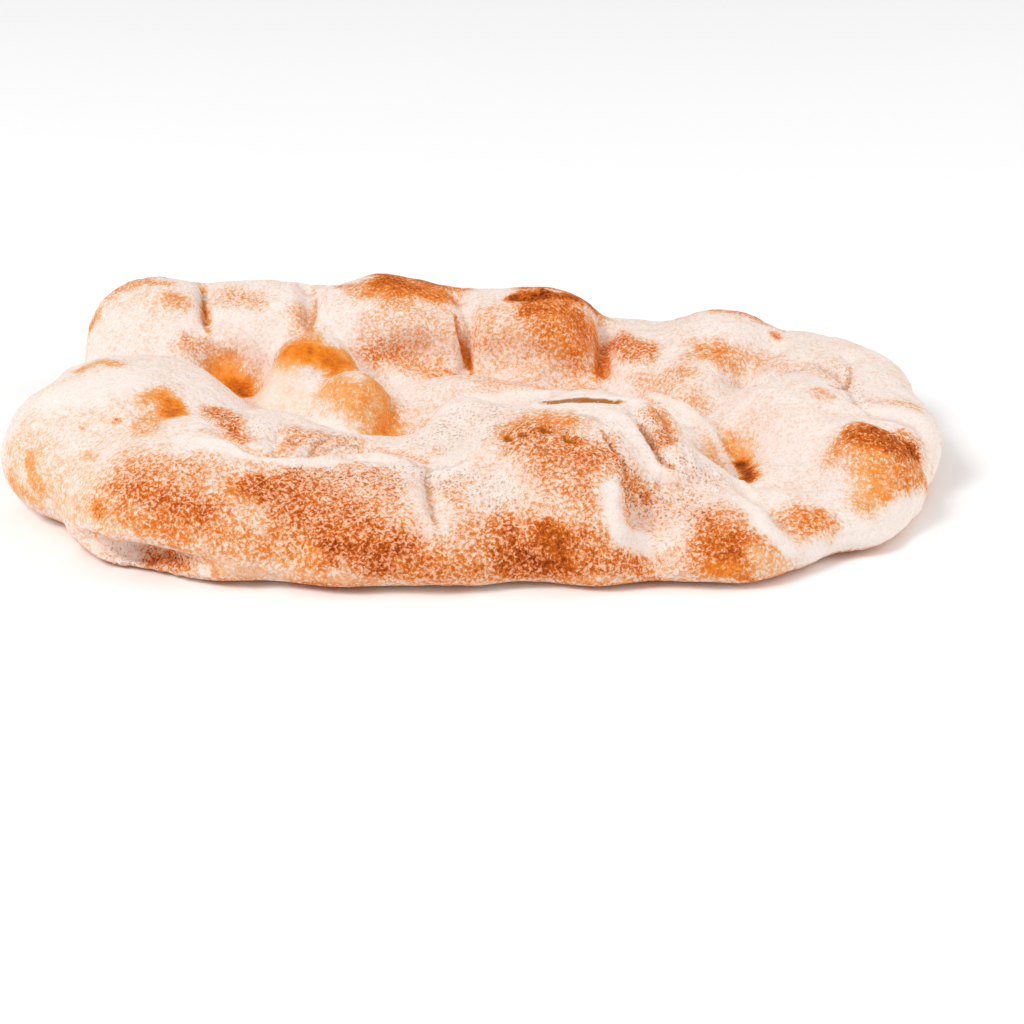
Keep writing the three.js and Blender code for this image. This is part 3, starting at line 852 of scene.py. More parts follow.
# %% Bubbles and pits in the middle, and the left end
STROKES |= {
    "bubble's flank": ([(262, 396), (276, 378), (296, 398)], 6, 0.12, 0.4, 0.7),
    "bubble's cap": ([(288, 352), (310, 350), (345, 362)], 5.5, 0.64, 0.06, 1.0),
    "bubble's bright core": ([(312, 355), (332, 360)], 3.5, 0.7, 0.0, 1.0),
    "small bubble": ([(334, 388), (362, 394), (366, 414), (376, 430)], 6.5, 0.42, 0.3, 0.7),
    # painted shade: the small bubble's side turned from the lamp is browner
    "small bubble's right side": ([(376, 385), (386, 405), (385, 428)], 5, 0.55, 0.18, 0.7),
    # the pits' strokes are their bare amber skin with painted shade, darkest at the bottom
    "depth of left pit": ([(222, 370), (242, 387)], 4.4, 0.5, 0.1, 0.85),
    "bottom of left pit": ([(234, 387), (246, 395)], 2.6, 0.74, 0.0, 0.8),
    "depth of right pit": ([(727, 446), (744, 474)], 5.0, 0.46, 0.25, 0.7),
    "bottom of right pit": ([(741, 466), (748, 479)], 2.8, 0.95, 0.0, 0.6),
    "left end's crest": ([(84, 368), (100, 362), (118, 365)], 3, 0.44, 0.3, 0.6),
    "amber spot": ([(164, 396), (171, 414)], 4.4, 0.52, 0.2, 0.9),
    "amber spot's core": ([(155, 398), (163, 402), (166, 414)], 4.2, 0.8, 0.02, 0.85),
    "amber spot's foot": ([(150, 402), (147, 430)], 4.2, 0.44, 0.45, 0.5),
    "saddle's brown patch": ([(214, 410), (226, 420), (236, 436)], 4, 0.59, 0.42, 0.0),
    # painted shade in the saddle dip
    "saddle dip's painted shade": ([(298, 430), (284, 448)], 2.4, 0.42, 0.4, 0.1),
    "left streak": ([(30, 460), (30, 474), (40, 492)], 2.2, 0.5, 0.3, 0.6),
    "left low edge": ([(12, 484), (34, 500)], 3.4, 0.42, 0.35, 0.5),
    "left dot": ([(116, 420), (118, 421)], 1.2, 0.56, 0.4, 0.2),
    "second left dot": ([(80, 427), (82, 428)], 1.0, 0.4, 0.4, 0.2),
    "third left dot": ([(86, 455), (96, 456)], 1.2, 0.38, 0.4, 0.3),
    "fourth left dot": ([(68, 408), (70, 409)], 0.9, 0.4, 0.4, 0.2),
    "fifth left dot": ([(100, 488), (108, 486)], 1.2, 0.44, 0.4, 0.1),
    "small front spot": ([(97, 507), (102, 510)], 2.4, 0.74, 0.15, 0.6),
}
print(len(STROKES), "strokes with the middle and the left end")

# %% [markdown]
# The front face is one long band of speckled brown, with darker cores where it bulges, and the dome
# has its own foot of scorched patches.

# %% Front face and dome
STROKES |= {
    "front left brown": ([(128, 482), (165, 496), (205, 515)], 9, 0.58, 0.48, 0.1),
    "front left core": ([(148, 494), (172, 508), (200, 516)], 4.5, 0.72, 0.42, 0.1),
    "front left foot": ([(125, 515), (180, 530)], 4, 0.58, 0.4, 0.3),
    "front orange spot": ([(240, 487), (256, 486)], 4, 0.6, 0.35, 0.5),
    "front middle band": ([(262, 486), (300, 488), (336, 494)], 5.5, 0.78, 0.43, 0.1),
    "front middle brown": ([(305, 505), (345, 532), (395, 556)], 10, 0.66, 0.48, 0.1),
    "front middle core": ([(325, 543), (350, 545), (388, 560)], 5, 0.8, 0.42, 0.1),
    "front middle upper": ([(345, 478), (395, 490)], 6, 0.52, 0.55, 0.0),
    "front lower tan": ([(222, 534), (262, 544), (305, 560)], 5, 0.54, 0.45, 0.35),
    "beside the notch": ([(455, 490), (462, 560)], 8, 0.44, 0.55, 0.0),
    "front low band": ([(400, 566), (480, 572)], 3.5, 0.62, 0.42, 0.3),
    "dome's top": ([(512, 424), (560, 424)], 7, 0.52, 0.35, 0.35),
    "dome's middle": ([(510, 452), (592, 458)], 9, 0.62, 0.45, 0.1),
    "dome's waist": ([(530, 482), (590, 490)], 7, 0.5, 0.5, 0.0),
    "dome's left": ([(490, 480), (515, 520), (520, 555)], 9, 0.21, 0.66, 0.0),
    "dome's foot": ([(505, 545), (575, 560)], 9, 0.7, 0.42, 0.1),
    "dome's scorch": ([(554, 536), (562, 566)], 3.6, 0.8, 0.25, 0.3),
    "dome's second scorch": ([(512, 556), (530, 566)], 4.5, 0.8, 0.4, 0.1),
    "dome's right foot": ([(592, 552), (636, 568)], 4.5, 0.66, 0.46, 0.2),
    # both strokes are painted shadow inside the front hollow
    "hollow's painted shadow": ([(630, 484), (646, 496)], 4.2, 0.6, 0.42, 0.15),
    "hollow's shade": ([(632, 500), (634, 526)], 3, 0.48, 0.4, 0.1),
    "shoulder streak": ([(656, 412), (666, 424), (664, 440)], 3.6, 0.54, 0.48, 0.1),
    "corner brown": ([(700, 525), (735, 545), (765, 568)], 9, 0.6, 0.46, 0.1),
    "corner core": ([(716, 545), (742, 552)], 5.5, 0.74, 0.32, 0.2),
    "corner's orange foot": ([(712, 570), (735, 571)], 2.6, 0.66, 0.2, 0.7),
    "corner's pale foot": ([(762, 560), (780, 568)], 4, 0.34, 0.4, 0.5),
}
print(len(STROKES), "strokes with the front")

# %% [markdown]
# The right end is pale but for its brown cap and a patch in front of it. The smooth lower edge, which
# touched the oven's floor, is an even tan.

# %% Right end and lower edge
STROKES |= {
    "right patch": ([(796, 520), (828, 534)], 6.8, 0.53, 0.48, 0.2),
    "right patch core": ([(811, 517), (828, 537)], 4.0, 0.67, 0.38, 0.3),
    "right cap": ([(860, 440), (888, 452), (908, 464)], 8.4, 0.58, 0.36, 0.25),
    "right cap's right side": ([(908, 456), (914, 472), (907, 489)], 4.4, 0.54, 0.36, 0.3),
    "right cap's core": ([(868, 431), (888, 439), (906, 449)], 5.6, 0.84, 0.28, 0.2),
    "right cap's foot": ([(873, 470), (877, 492), (876, 512)], 6.4, 0.5, 0.35, 0.75),
    "right cap's low spot": ([(901, 503), (906, 501)], 1.4, 0.5, 0.3, 0.6),
    "right edge speckle": ([(868, 404), (905, 412)], 4, 0.34, 0.5, 0.0),
    "right dome's spot": ([(818, 392), (828, 394)], 3.2, 0.36, 0.5, 0.0),
    "lower edge": ([(215, 572), (300, 582), (420, 586), (560, 586), (700, 582)], 2.4, 0.36, 0.2, 0.2),
    "under the lip": ([(110, 554), (140, 562), (185, 570)], 4, 0.2, 0.6, 0.0),
}
print(len(STROKES), "strokes in all")

# %% [markdown]
# Flour gathers in hollows and is pressed into ridges, which stay white while the crust round them
# browns. So these strokes are laid on last, and most of them are narrow. Two of them stand for light
# instead: the recess under the lip is painted shade, and the right lower edge is whitened as painted
# light.

# %% White ridges and floury hollows
FLOUR_STROKES = {
    "front ridge": (
        [(200, 440), (236, 454), (300, 463), (380, 460), (430, 474), (466, 466)], 1.5, 0.1, 0.95, 0.0,
    ),
    "dent": ([(448, 430), (492, 414)], 8, 0.2, 0.8, 0.0),
    "dent's tan": ([(432, 446), (444, 452)], 2.0, 0.44, 0.4, 0.5),
    "dent's foot": ([(440, 445), (480, 452)], 5, 0.24, 0.78, 0.0),
    "dome's crest": ([(470, 400), (520, 395), (580, 393), (628, 397)], 2.0, 0.1, 0.95, 0.0),
    "below the slit": ([(530, 406), (600, 406)], 1.6, 0.14, 0.9, 0.0),
    "dome's shoulder": (
        [(596, 405), (627, 421), (641, 443), (650, 460), (664, 473)], 2.6, 0.1, 0.92, 0.0,
    ),
    "beyond the shoulder": ([(690, 470), (712, 482), (700, 500)], 5, 0.3, 0.7, 0.0),
    "corner's edge": ([(738, 484), (752, 506), (762, 526), (792, 550)], 2.2, 0.08, 0.95, 0.0),
    "corner's upper edge": (
        [(650, 396), (684, 408), (710, 430), (724, 458), (738, 482)], 1.2, 0.14, 0.85, 0.0,
    ),
    "hollow's wall": ([(610, 486), (612, 512), (622, 536), (646, 544)], 2.8, 0.1, 0.92, 0.0),
    "notch": ([(420, 476), (434, 520)], 5, 0.26, 0.74, 0.0),
    "under-lip flour": ([(112, 540), (142, 548)], 3.4, 0.2, 0.8, 0.0),
    # painted shade in the recess under the lip
    "painted shade in the recess under the lip": ([(152, 556), (188, 567)], 3.0, 0.6, 0.4, 0.0),
    "front lip": (
        [(196, 556), (240, 572), (330, 584), (420, 588), (560, 588), (640, 586)], 1.8, 0.34, 0.25, 0.0,
    ),
    "left end's white top": ([(66, 392), (100, 385), (124, 380)], 7, 0.06, 0.86, 0.0),
    "hood": (
        [(866, 409), (894, 414), (918, 426), (928, 442), (931, 462), (925, 486)], 3.0, 0.06, 0.9, 0.0,
    ),
    # painted light: whitened to make up for the shade under the right edge, on top of its flour
    "right lower edge, painted light": ([(916, 509), (884, 530), (848, 545), (815, 560)], 4.6, 0.0, 1.0, 0.0),
    "behind corner": ([(650, 520), (672, 512), (672, 540)], 5, 0.3, 0.68, 0.0),
}
print(len(FLOUR_STROKES), "strokes of flour")

# %% [markdown]
# In slits and cracks the bare dough under the skin shows, and it browned without flour. In the creases
# the mark is partly that bare amber and partly painted shade, and in the wrinkles, the notch, the pucker
# and the valley behind the front ridge it is painted shade that falls into the fold. These marks follow
# the lines that were pressed in before, so only their width is given.

# %% Marks in the slits and cracks, and painted shade in the folds
# share of the line's half width, browned, floured, amber
SLIT_STROKES = {
    # creases: bare amber with painted shade; wrinkles, notch, pucker and valley: painted shade
    "left back crease": (0.6, 0.62, 0.1, 0.7),
    "second back crease": (0.4, 0.46, 0.3, 0.3),
    "third back crease": (0.6, 0.7, 0.1, 0.6),
    "slit on the dome": (0.4, 0.5, 0.2, 0.6),
    "back wall of the slit": (0.4, 0.6, 0.0, 0.8),
    "flap on scorched lobe": (1.2, 0.92, 0.0, 0.0),
    "first crack": (0.7, 0.7, 0.1, 0.4),
    "crack beside the first": (0.7, 0.7, 0.1, 0.4),
    "second crack": (0.7, 0.7, 0.1, 0.4),
    "third crack": (0.7, 0.7, 0.1, 0.4),
    "shoulder wrinkle": (0.6, 0.5, 0.3, 0.0),
    "shoulder wrinkle beside": (0.6, 0.56, 0.3, 0.1),
    "dome wrinkle": (0.7, 0.54, 0.3, 0.0),
    "front notch": (0.5, 0.4, 0.4, 0.5),
    "valley behind front ridge": (0.6, 0.34, 0.5, 0.0),
    "pucker": (0.7, 0.42, 0.4, 0.0),
    "saddle wrinkle": (0.7, 0.4, 0.45, 0.0),
}
print(len(SLIT_STROKES), "marks in slits and folds")

# %% [markdown]
# ## Marks on the hidden side
# The photograph shows nothing of the back wall and little of the middle behind the dome. Marks are
# chosen there like those that show: brown where a roll stands proud, and pale in between.

# %% Strokes on the side that the photograph hides
# x and y in mm from above, radius, browned, floured, amber
STROKES_ABOVE = (
    ([(-118, 72), (-98, 84)], 8, 0.55, 0.45, 0.1),
    ([(-45, 84), (-12, 86)], 8, 0.7, 0.38, 0.1),
    ([(-28, 72), (-10, 74)], 7, 0.72, 0.3, 0.2),
    ([(24, 74), (40, 72)], 7, 0.74, 0.3, 0.2),
    ([(74, 74), (96, 66)], 7, 0.55, 0.45, 0.0),
    ([(0, 22), (34, 26)], 9, 0.34, 0.5, 0.0),
    ([(12, -4), (40, 2)], 8, 0.36, 0.5, 0.1),
    ([(56, 14), (66, 22)], 6, 0.42, 0.45, 0.1),
    ([(-16, -2), (-6, 8)], 6, 0.32, 0.5, 0.0),
)
# x and z in mm from behind
STROKES_BEHIND = (
    ([(-120, 12), (-60, 14), (20, 12), (90, 10)], 10, 0.46, 0.5, 0.1),
    ([(-110, 22), (-96, 18)], 7, 0.72, 0.4, 0.1),
    ([(-60, 18), (-36, 12)], 7, 0.66, 0.45, 0.1),
    ([(-14, 24), (-2, 16)], 7, 0.8, 0.35, 0.0),
    ([(28, 20), (44, 12)], 7, 0.74, 0.4, 0.1),
    ([(74, 16), (92, 10)], 6, 0.66, 0.4, 0.2),
)
print(len(STROKES_ABOVE), "strokes from above and", len(STROKES_BEHIND), "from behind")

# %% [markdown]
# ## Laying the strokes on
# A stroke pulls the values of the points near its line towards its own, and less and less across a
# soft edge. Noise makes the edge wander, because browning never ends in a clean curve.

# %% Lay the strokes on
# how far untouched crust is browned and floured
PALE, DUSTED = 0.13, 0.6
# the soft edge starts and ends at these shares of the radius, and is looked for up to the reach
SOFT_EDGE = (0.2, 1.9)
STROKE_REACH = 2.2
EDGE_MM = 7.0
EDGE_WANDER = 0.5
wander = rough(skin, EDGE_MM, 4, (9.7, 0.4, 6.1))
marks = np.tile([PALE, DUSTED, 0.0], (len(skin), 1))


def lay_on(line, radius, values, ragged=EDGE_WANDER):
    chosen, gap, _ = near_line(smooth_skin, line, radius * STROKE_REACH)
    inner, outer = SOFT_EDGE
    share = gap / radius + ragged * wander[chosen]
    weight = 1 - ease((share - inner) / (outer - inner))
    marks[chosen] += (np.array(values) - marks[chosen]) * weight[:, None]


for stroke in STROKES_BEHIND:
    lay_on(seen_from_behind(stroke[0]), stroke[1], stroke[2:])
for stroke in STROKES_ABOVE:
    lay_on(seen_from_above(stroke[0]), stroke[1], stroke[2:])
for stroke in list(STROKES.values()) + list(FLOUR_STROKES.values()):
    lay_on(seen_in_photo(stroke[0], min(PIXEL_STEP, stroke[1] / 2)), stroke[1], stroke[2:])
for name, (share, *values) in SLIT_STROKES.items():
    pixels, half_width, depth = LINES[name]
    lay_on(one_run(seen_in_photo(pixels)), half_width * share, values, ragged=0.0)
print("browned mean", marks[:, 0].mean().round(2), "floured mean", marks[:, 1].mean().round(2))

# %% [markdown]
# ## What the form itself adds, with painted shade in its hollows
# Light that bounces about in a hollow comes back warmer, so a hollow is painted a little browner and
# more amber: this is painted shade. The underside is spotted with brown where it touched the oven's
# floor.

# %% Painted shade in hollows, and the underside
# what each millimetre of hollow adds as painted shade, and the depth from which it adds no more
CAVITY_PAINTED_SHADE, CAVITY_PAINTED_AMBER, DEEPEST = 0.025, 0.03, 5
marks[:, 0] += CAVITY_PAINTED_SHADE * np.clip(cavity, 0, DEEPEST)
marks[:, 2] += CAVITY_PAINTED_AMBER * np.clip(cavity, 0, DEEPEST)
# the underside starts where the skin leans down this much, and is in full after this much more
LEANS_DOWN, LEAN_FADE = 0.3, 0.5
OVEN_SPOT_MM, OVEN_BROWN, OVEN_SWING, OVEN_FLOUR = 16.0, 0.45, 0.35, 0.5
under = ease((-outward[:, 2] - LEANS_DOWN) / LEAN_FADE)
spots = rough(skin * [1, 1, 0], OVEN_SPOT_MM, 4, (1.2, 8.8, 0.0))
oven_floor = np.clip(OVEN_BROWN + OVEN_SWING * spots, 0, 1)
marks[:, 0] += (oven_floor - marks[:, 0]) * under
marks[:, 1] += (OVEN_FLOUR - marks[:, 1]) * under
marks = np.clip(marks, 0, 1)
print("the underside takes", round(float(under.mean()), 2), "of the points")

# %% [markdown]
# The slits and fold lines are finer than the squares of the skin. So every point near one stores
# how close it is, and the material draws the line where that value passes a level. A fold's line is
# painted shade.

# %% How close each point is to a slit or a fold
SLITS = (
    "back wall of the slit", "first crack", "crack beside the first", "second crack", "third crack",
    "flap on scorched lobe",
)
# the lines whose folds get a painted shade
SHADED_FOLDS = (
    "second back crease", "shoulder wrinkle", "shoulder wrinkle beside", "dome wrinkle",
    "dome wrinkle above", "line behind front ridge", "saddle wrinkle", "saddle wrinkle below",
    "right fold wrinkle", "pucker", "valley beyond right dome", "fold over right cap", "front notch",
    "under-lip wrinkle", "fourth crack",
)
# closeness falls from 1 on the line to 0 at this distance, and a line's ends are less close
CLOSE_MM = 3.0
END_TAPER = 0.12
# the line's own points, in pixels apart
FINE_STEP = 1.0
# only for the printed count
ON_LINE = 0.7


def closeness(names):
    """How close each point is to the nearest of the named lines."""
    close = np.zeros(len(skin))
    for name in names:
        line = one_run(seen_in_photo(LINES[name][0], FINE_STEP))
        chosen, gap, share = near_line(smooth_skin, line, CLOSE_MM)
        taper = END_TAPER * (1 - ease(np.minimum(share, 1 - share) / CREASE_END_SHARE))
        close[chosen] = np.maximum(close[chosen], 1 - gap / CLOSE_MM - taper)
    return close


marks = np.column_stack([marks, crumpled, closeness(SLITS), closeness(SHADED_FOLDS)])
on_lines = (marks[:, 4:] > ON_LINE).sum(0)
print(on_lines[0], "points in slits,", on_lines[1], "in folds")

# %% [markdown]
# ## The crust as a mesh
# The points and squares become one closed mesh. The six values of each point go on it as attributes,
# which a material reads by name, so the crust needs no image and no unwrapping.

# %% The crust as a mesh
crust_mesh = bpy.data.meshes.new("crust")
crust_mesh.from_pydata((skin * MM).tolist(), [], squares.tolist() + fan.tolist())
VALUES = ("browned", "floured", "amber", "crumpled", "slit", "fold")
for column, label in enumerate(VALUES):
    layer = crust_mesh.attributes.new(label, "FLOAT", "POINT")
    layer.data.foreach_set("value", marks[:, column].astype(np.float32))
crust_mesh.validate()
crust_mesh.shade_smooth()
crust = bpy.data.objects.new("crust", crust_mesh)
bpy.context.scene.collection.objects.link(crust)
print("the crust has", len(crust_mesh.polygons), "faces")

# %% [markdown]
# ## The crust's material
# The crust of a wheat bread is dry and matt. Its colour goes from cream where it only set, over
# peach and tan, to a reddish brown where it scorched. White flour sticks to it in clumps of about
# a millimetre, so a browned patch looks like a rug of white specks. Blisters are smoother, amber
# and a little glossy.


# %% Colours and nodes
def linear(colour):
    """A colour in sRGB hex as linear red, green and blue with full alpha."""
    parts = [int(colour[start : start + 2], 16) / 255 for start in (1, 3, 5)]
    return [p / 12.92 if p <= 0.04045 else ((p + 0.055) / 1.055) ** 2.4 for p in parts] + [1.0]


def add_node(tree, kind, inputs=None, **settings):
    """A new node with its settings, and its inputs by number or name: a value, or a socket to link."""
    node = tree.nodes.new(kind)
    for key, value in settings.items():
        setattr(node, key, value)
    for key, value in (inputs or {}).items():
        if isinstance(value, bpy.types.NodeSocket):
            tree.links.new(value, node.inputs[key])
        else:
            node.inputs[key].default_value = value
    return node


def per_metre(size_mm):
    """The scale of a pattern whose marks are this many millimetres wide."""
    return 1 / (size_mm * MM)


FLOUR_WHITE = "#f6e9e1"
print("flour white in linear light is", [round(part, 2) for part in linear(FLOUR_WHITE)[:3]])

# %% [markdown]
# Three noises give the crust its unevenness: blotches as wide as a thumb, mottles of a few
# millimetres, and clumps, which are both the pores of the crust and the flour between them. All
# are read from Object coordinates, so they stay on the bread.
#
# In the Map Range nodes below, inputs 1 and 2 are the range that a value has, and inputs 3 and 4 are
# what the ends of that range turn into.

# %% Baked wheat crust: its stored values and its noises
BLOTCH_MM = 11.0
MOTTLE_MM = 3.2
# flour grit is 0.1 to 0.3 mm; it is drawn in the clumps that show, about a millimetre wide
CLUMP_MM = 1.05
baked = bpy.data.materials.new("baked wheat crust dusted with flour")
baked.use_nodes = True
tree = baked.node_tree
tree.nodes.clear()
place = add_node(tree, "ShaderNodeTexCoord").outputs["Object"]
browned, floured, amber, crumple, slit, fold = (
    add_node(tree, "ShaderNodeAttribute", attribute_name=label).outputs["Fac"] for label in VALUES
)
blotch = add_node(
    tree, "ShaderNodeTexNoise", {"Vector": place, "Scale": per_metre(BLOTCH_MM), "Detail": 3.0}
)
mottle = add_node(
    tree, "ShaderNodeTexNoise",
    {"Vector": place, "Scale": per_metre(MOTTLE_MM), "Detail": 3.0, "Roughness": 0.6},
)
clump = add_node(
    tree, "ShaderNodeTexNoise",
    {"Vector": place, "Scale": per_metre(CLUMP_MM), "Detail": 2.0, "Roughness": 0.6, "Distortion": 0.5},
)
print("clumps of", CLUMP_MM, "mm, mottles of", MOTTLE_MM, "mm and blotches of", BLOTCH_MM, "mm")

# %% [markdown]
# How brown a spot is starts from its stored value. The slow noises make it patchy, and the clump
# noise browns its pores, which is what turns a patch into a speckle. Pale crust and a blister's thin
# skin have few pores.

# %% How brown each spot is
uneven = add_node(
    tree, "ShaderNodeMath", {0: blotch.outputs["Fac"], 1: mottle.outputs["Fac"]}, operation="ADD"
)
# the two slow noises add up to 1 on average
patchy = add_node(tree, "ShaderNodeMapRange", {0: uneven.outputs[0], 1: 0.7, 2: 1.3, 3: -0.12, 4: 0.12})
# the crust browns most in its pores, and the more so the browner it is
pores = add_node(tree, "ShaderNodeMapRange", {0: clump.outputs["Fac"], 1: 0.3, 2: 0.7, 3: 0.24, 4: -0.22})
pore_share = add_node(tree, "ShaderNodeMapRange", {0: browned, 1: 0.1, 2: 0.7, 3: 0.14, 4: 1.0})
# a blister's thin skin is smooth
rugged = add_node(tree, "ShaderNodeMapRange", {0: amber, 1: 0.0, 2: 1.0, 3: 1.0, 4: 0.25})
pore_share = add_node(
    tree, "ShaderNodeMath", {0: pore_share.outputs[0], 1: rugged.outputs[0]}, operation="MULTIPLY"
)
swing = add_node(
    tree, "ShaderNodeMath", {0: pores.outputs[0], 1: pore_share.outputs[0], 2: patchy.outputs[0]},
    operation="MULTIPLY_ADD",
)
shade = add_node(
    tree, "ShaderNodeMath", {0: browned, 1: swing.outputs[0]}, operation="ADD", use_clamp=True
)
print(len(tree.nodes), "nodes up to the browning")

# %% [markdown]
# Flour lies in the same clumps. It shows where the clump noise rises over a level, and the level
# falls as the flour thickens, so a light dusting is a few specks and a thick one leaves few gaps.

# %% How thick the flour lies
level = add_node(tree, "ShaderNodeMapRange", {0: floured, 1: 0.0, 2: 1.0, 3: 0.78, 4: 0.22})
above = add_node(
    tree, "ShaderNodeMath", {0: clump.outputs["Fac"], 1: level.outputs[0]}, operation="SUBTRACT"
)
dusting = add_node(tree, "ShaderNodeMapRange", {0: above.outputs[0], 1: -0.06, 2: 0.08, 3: 0.0, 4: 1.0})
# a dusted spot is also paler than the crust beside it, because the flour kept it from browning
veil_depth = add_node(tree, "ShaderNodeMapRange", {0: browned, 1: 0.1, 2: 0.5, 3: -0.07, 4: -0.17})
veiled = add_node(
    tree, "ShaderNodeMath", {0: dusting.outputs[0], 1: veil_depth.outputs[0], 2: shade.outputs[0]},
    operation="MULTIPLY_ADD", use_clamp=True,
)
print(len(tree.nodes), "nodes up to the flour")

# %% [markdown]
# Two colour ramps turn the browning into colour: one for dry crust, from cream over peach and tan
# to reddish brown, and one for the amber skin of blisters. Thin flour then whitens the result.

# %% From browning to colour
CRUST_STEPS = (
    (0.0, "#f5e6de"), (0.12, "#efdacd"), (0.24, "#eec6aa"), (0.4, "#ecaa78"), (0.6, "#e4803a"),
    (0.78, "#c95d15"), (1.0, "#782d05"),
)
AMBER_STEPS = (
    (0.0, "#f6e5d8"), (0.25, "#f3d1ae"), (0.45, "#f0a95c"), (0.62, "#f58b1c"), (0.8, "#c9640c"),
    (1.0, "#7a3608"),
)
crust_colour = add_node(tree, "ShaderNodeValToRGB", {0: veiled.outputs[0]})
amber_colour = add_node(tree, "ShaderNodeValToRGB", {0: veiled.outputs[0]})
for ramp, steps in ((crust_colour.color_ramp, CRUST_STEPS), (amber_colour.color_ramp, AMBER_STEPS)):
    while len(ramp.elements) < len(steps):
        ramp.elements.new(0.5)
    for element, (position, colour) in zip(ramp.elements, steps):
        element.position = position
        element.color = linear(colour)
bare = add_node(
    tree, "ShaderNodeMix", {0: amber, 6: crust_colour.outputs[0], 7: amber_colour.outputs[0]},
    data_type="RGBA",
)
# flour melts into browned crust and stays white on pale crust
white_share = add_node(tree, "ShaderNodeMapRange", {0: browned, 1: 0.1, 2: 0.9, 3: 0.5, 4: 0.12})
thinly = add_node(
    tree, "ShaderNodeMath", {0: dusting.outputs[0], 1: white_share.outputs[0]}, operation="MULTIPLY"
)
colour = add_node(
    tree, "ShaderNodeMix", {0: thinly.outputs[0], 6: bare.outputs[2], 7: linear(FLOUR_WHITE)},
    data_type="RGBA",
)
print(len(CRUST_STEPS), "steps from cream to brown, and", len(AMBER_STEPS), "in amber")

# %% [markdown]
# Steam leaves pinholes in the skin, and the shade in tiny pores and crumples is painted with them. They
# are dark specks, pinholes and painted shade together, most of them where the skin crumpled or browned,
# tan in pale crust and brown in dark crust.

# %% Pinholes and painted pore shade
PINHOLE_AND_SHADE_MM = 0.8
PINHOLE_AND_SHADE_TAN, PINHOLE_AND_SHADE_BROWN = "#bf9070", "#8a3a0c"
# how strongly the pinholes and the painted pore shade show where the skin crumpled
CRUMPLE_PINHOLES_AND_SHADE = 0.55
pinholes_and_pore_shade = add_node(
    tree, "ShaderNodeTexNoise", {"Vector": place, "Scale": per_metre(PINHOLE_AND_SHADE_MM), "Detail": 1.0}
)
pinhole_and_shade_mask = add_node(
    tree, "ShaderNodeMapRange", {0: pinholes_and_pore_shade.outputs["Fac"], 1: 0.3, 2: 0.44, 3: 1.0, 4: 0.0}
)
by_browning = add_node(tree, "ShaderNodeMapRange", {0: browned, 1: 0.3, 2: 0.7, 3: 0.16, 4: 0.66})
pinhole_and_shade_share = add_node(
    tree, "ShaderNodeMath", {0: crumple, 1: CRUMPLE_PINHOLES_AND_SHADE, 2: by_browning.outputs[0]},
    operation="MULTIPLY_ADD",
)
pinhole_and_shade_share = add_node(
    tree, "ShaderNodeMath", {0: pinhole_and_shade_share.outputs[0], 1: rugged.outputs[0]}, operation="MULTIPLY"
)
pinhole_and_shade = add_node(
    tree, "ShaderNodeMath", {0: pinhole_and_shade_mask.outputs[0], 1: pinhole_and_shade_share.outputs[0]},
    operation="MULTIPLY",
)
by_tone = add_node(tree, "ShaderNodeMapRange", {0: browned, 1: 0.15, 2: 0.38, 3: 0.0, 4: 1.0})
pinhole_and_shade_tone = add_node(
    tree, "ShaderNodeMix",
    {0: by_tone.outputs[0], 6: linear(PINHOLE_AND_SHADE_TAN), 7: linear(PINHOLE_AND_SHADE_BROWN)}, data_type="RGBA",
)
colour = add_node(
    tree, "ShaderNodeMix",
    {0: pinhole_and_shade.outputs[0], 6: colour.outputs[2], 7: pinhole_and_shade_tone.outputs[2]}, data_type="RGBA",
)
print("pinholes of", PINHOLE_AND_SHADE_MM, "mm")

# %% [markdown]
# Folds get a faint painted shade, and the inside of a slit is dark ochre. Both are drawn where the stored
# closeness passes a level, which gives a line that is much finer than the skin's squares.

# %% Painted fold shade and slit brown
# the closeness where the line starts and where it is in full, its strength and its colour
FOLD_SHADE_LINE = (fold, 0.62, 0.9, 0.32, "#a8846c")
SLIT_LINE = (slit, 0.62, 0.8, 0.84, "#a05a16")
for close, start, end, strength, tone in (FOLD_SHADE_LINE, SLIT_LINE):
    drawn = add_node(tree, "ShaderNodeMapRange", {0: close, 1: start, 2: end, 3: 0.0, 4: strength})
    colour = add_node(
        tree, "ShaderNodeMix", {0: drawn.outputs[0], 6: colour.outputs[2], 7: linear(tone)},
        data_type="RGBA",
    )
print(len(tree.nodes), "nodes up to the finished colour")

# %% [markdown]
# Dry crust and flour scatter light in all directions, and a blister has a slight gloss. The bump
# adds the grit that is finer than the mesh: wide mottles, and pores that are deepest where the crust
# is brown.

# %% Gloss, grit and shader
roughness = add_node(tree, "ShaderNodeMapRange", {0: amber, 1: 0.0, 2: 1.0, 3: 0.9, 4: 0.45})
# heights in millimetres
MOTTLE_RISE = 0.8
pore_depth = add_node(
    tree, "ShaderNodeMapRange", {0: pore_share.outputs[0], 1: 0.0, 2: 1.0, 3: 0.12, 4: 0.6}
)
grit = add_node(
    tree, "ShaderNodeMath", {0: clump.outputs["Fac"], 1: pore_depth.outputs[0]}, operation="MULTIPLY"
)
height = add_node(
    tree, "ShaderNodeMath", {0: mottle.outputs["Fac"], 1: MOTTLE_RISE, 2: grit.outputs[0]},
    operation="MULTIPLY_ADD",
)
bump = add_node(tree, "ShaderNodeBump", {"Strength": 1.0, "Distance": MM, "Height": height.outputs[0]})
shader = add_node(
    tree, "ShaderNodeBsdfPrincipled",
    {
        "Base Color": colour.outputs[2], "Roughness": roughness.outputs[0], "Normal": bump.outputs[0],
        "Specular IOR Level": 0.15,
    },
)
add_node(tree, "ShaderNodeOutputMaterial", {"Surface": shader.outputs[0]})
crust_mesh.materials.append(baked)
print("the crust's material has", len(tree.nodes), "nodes")

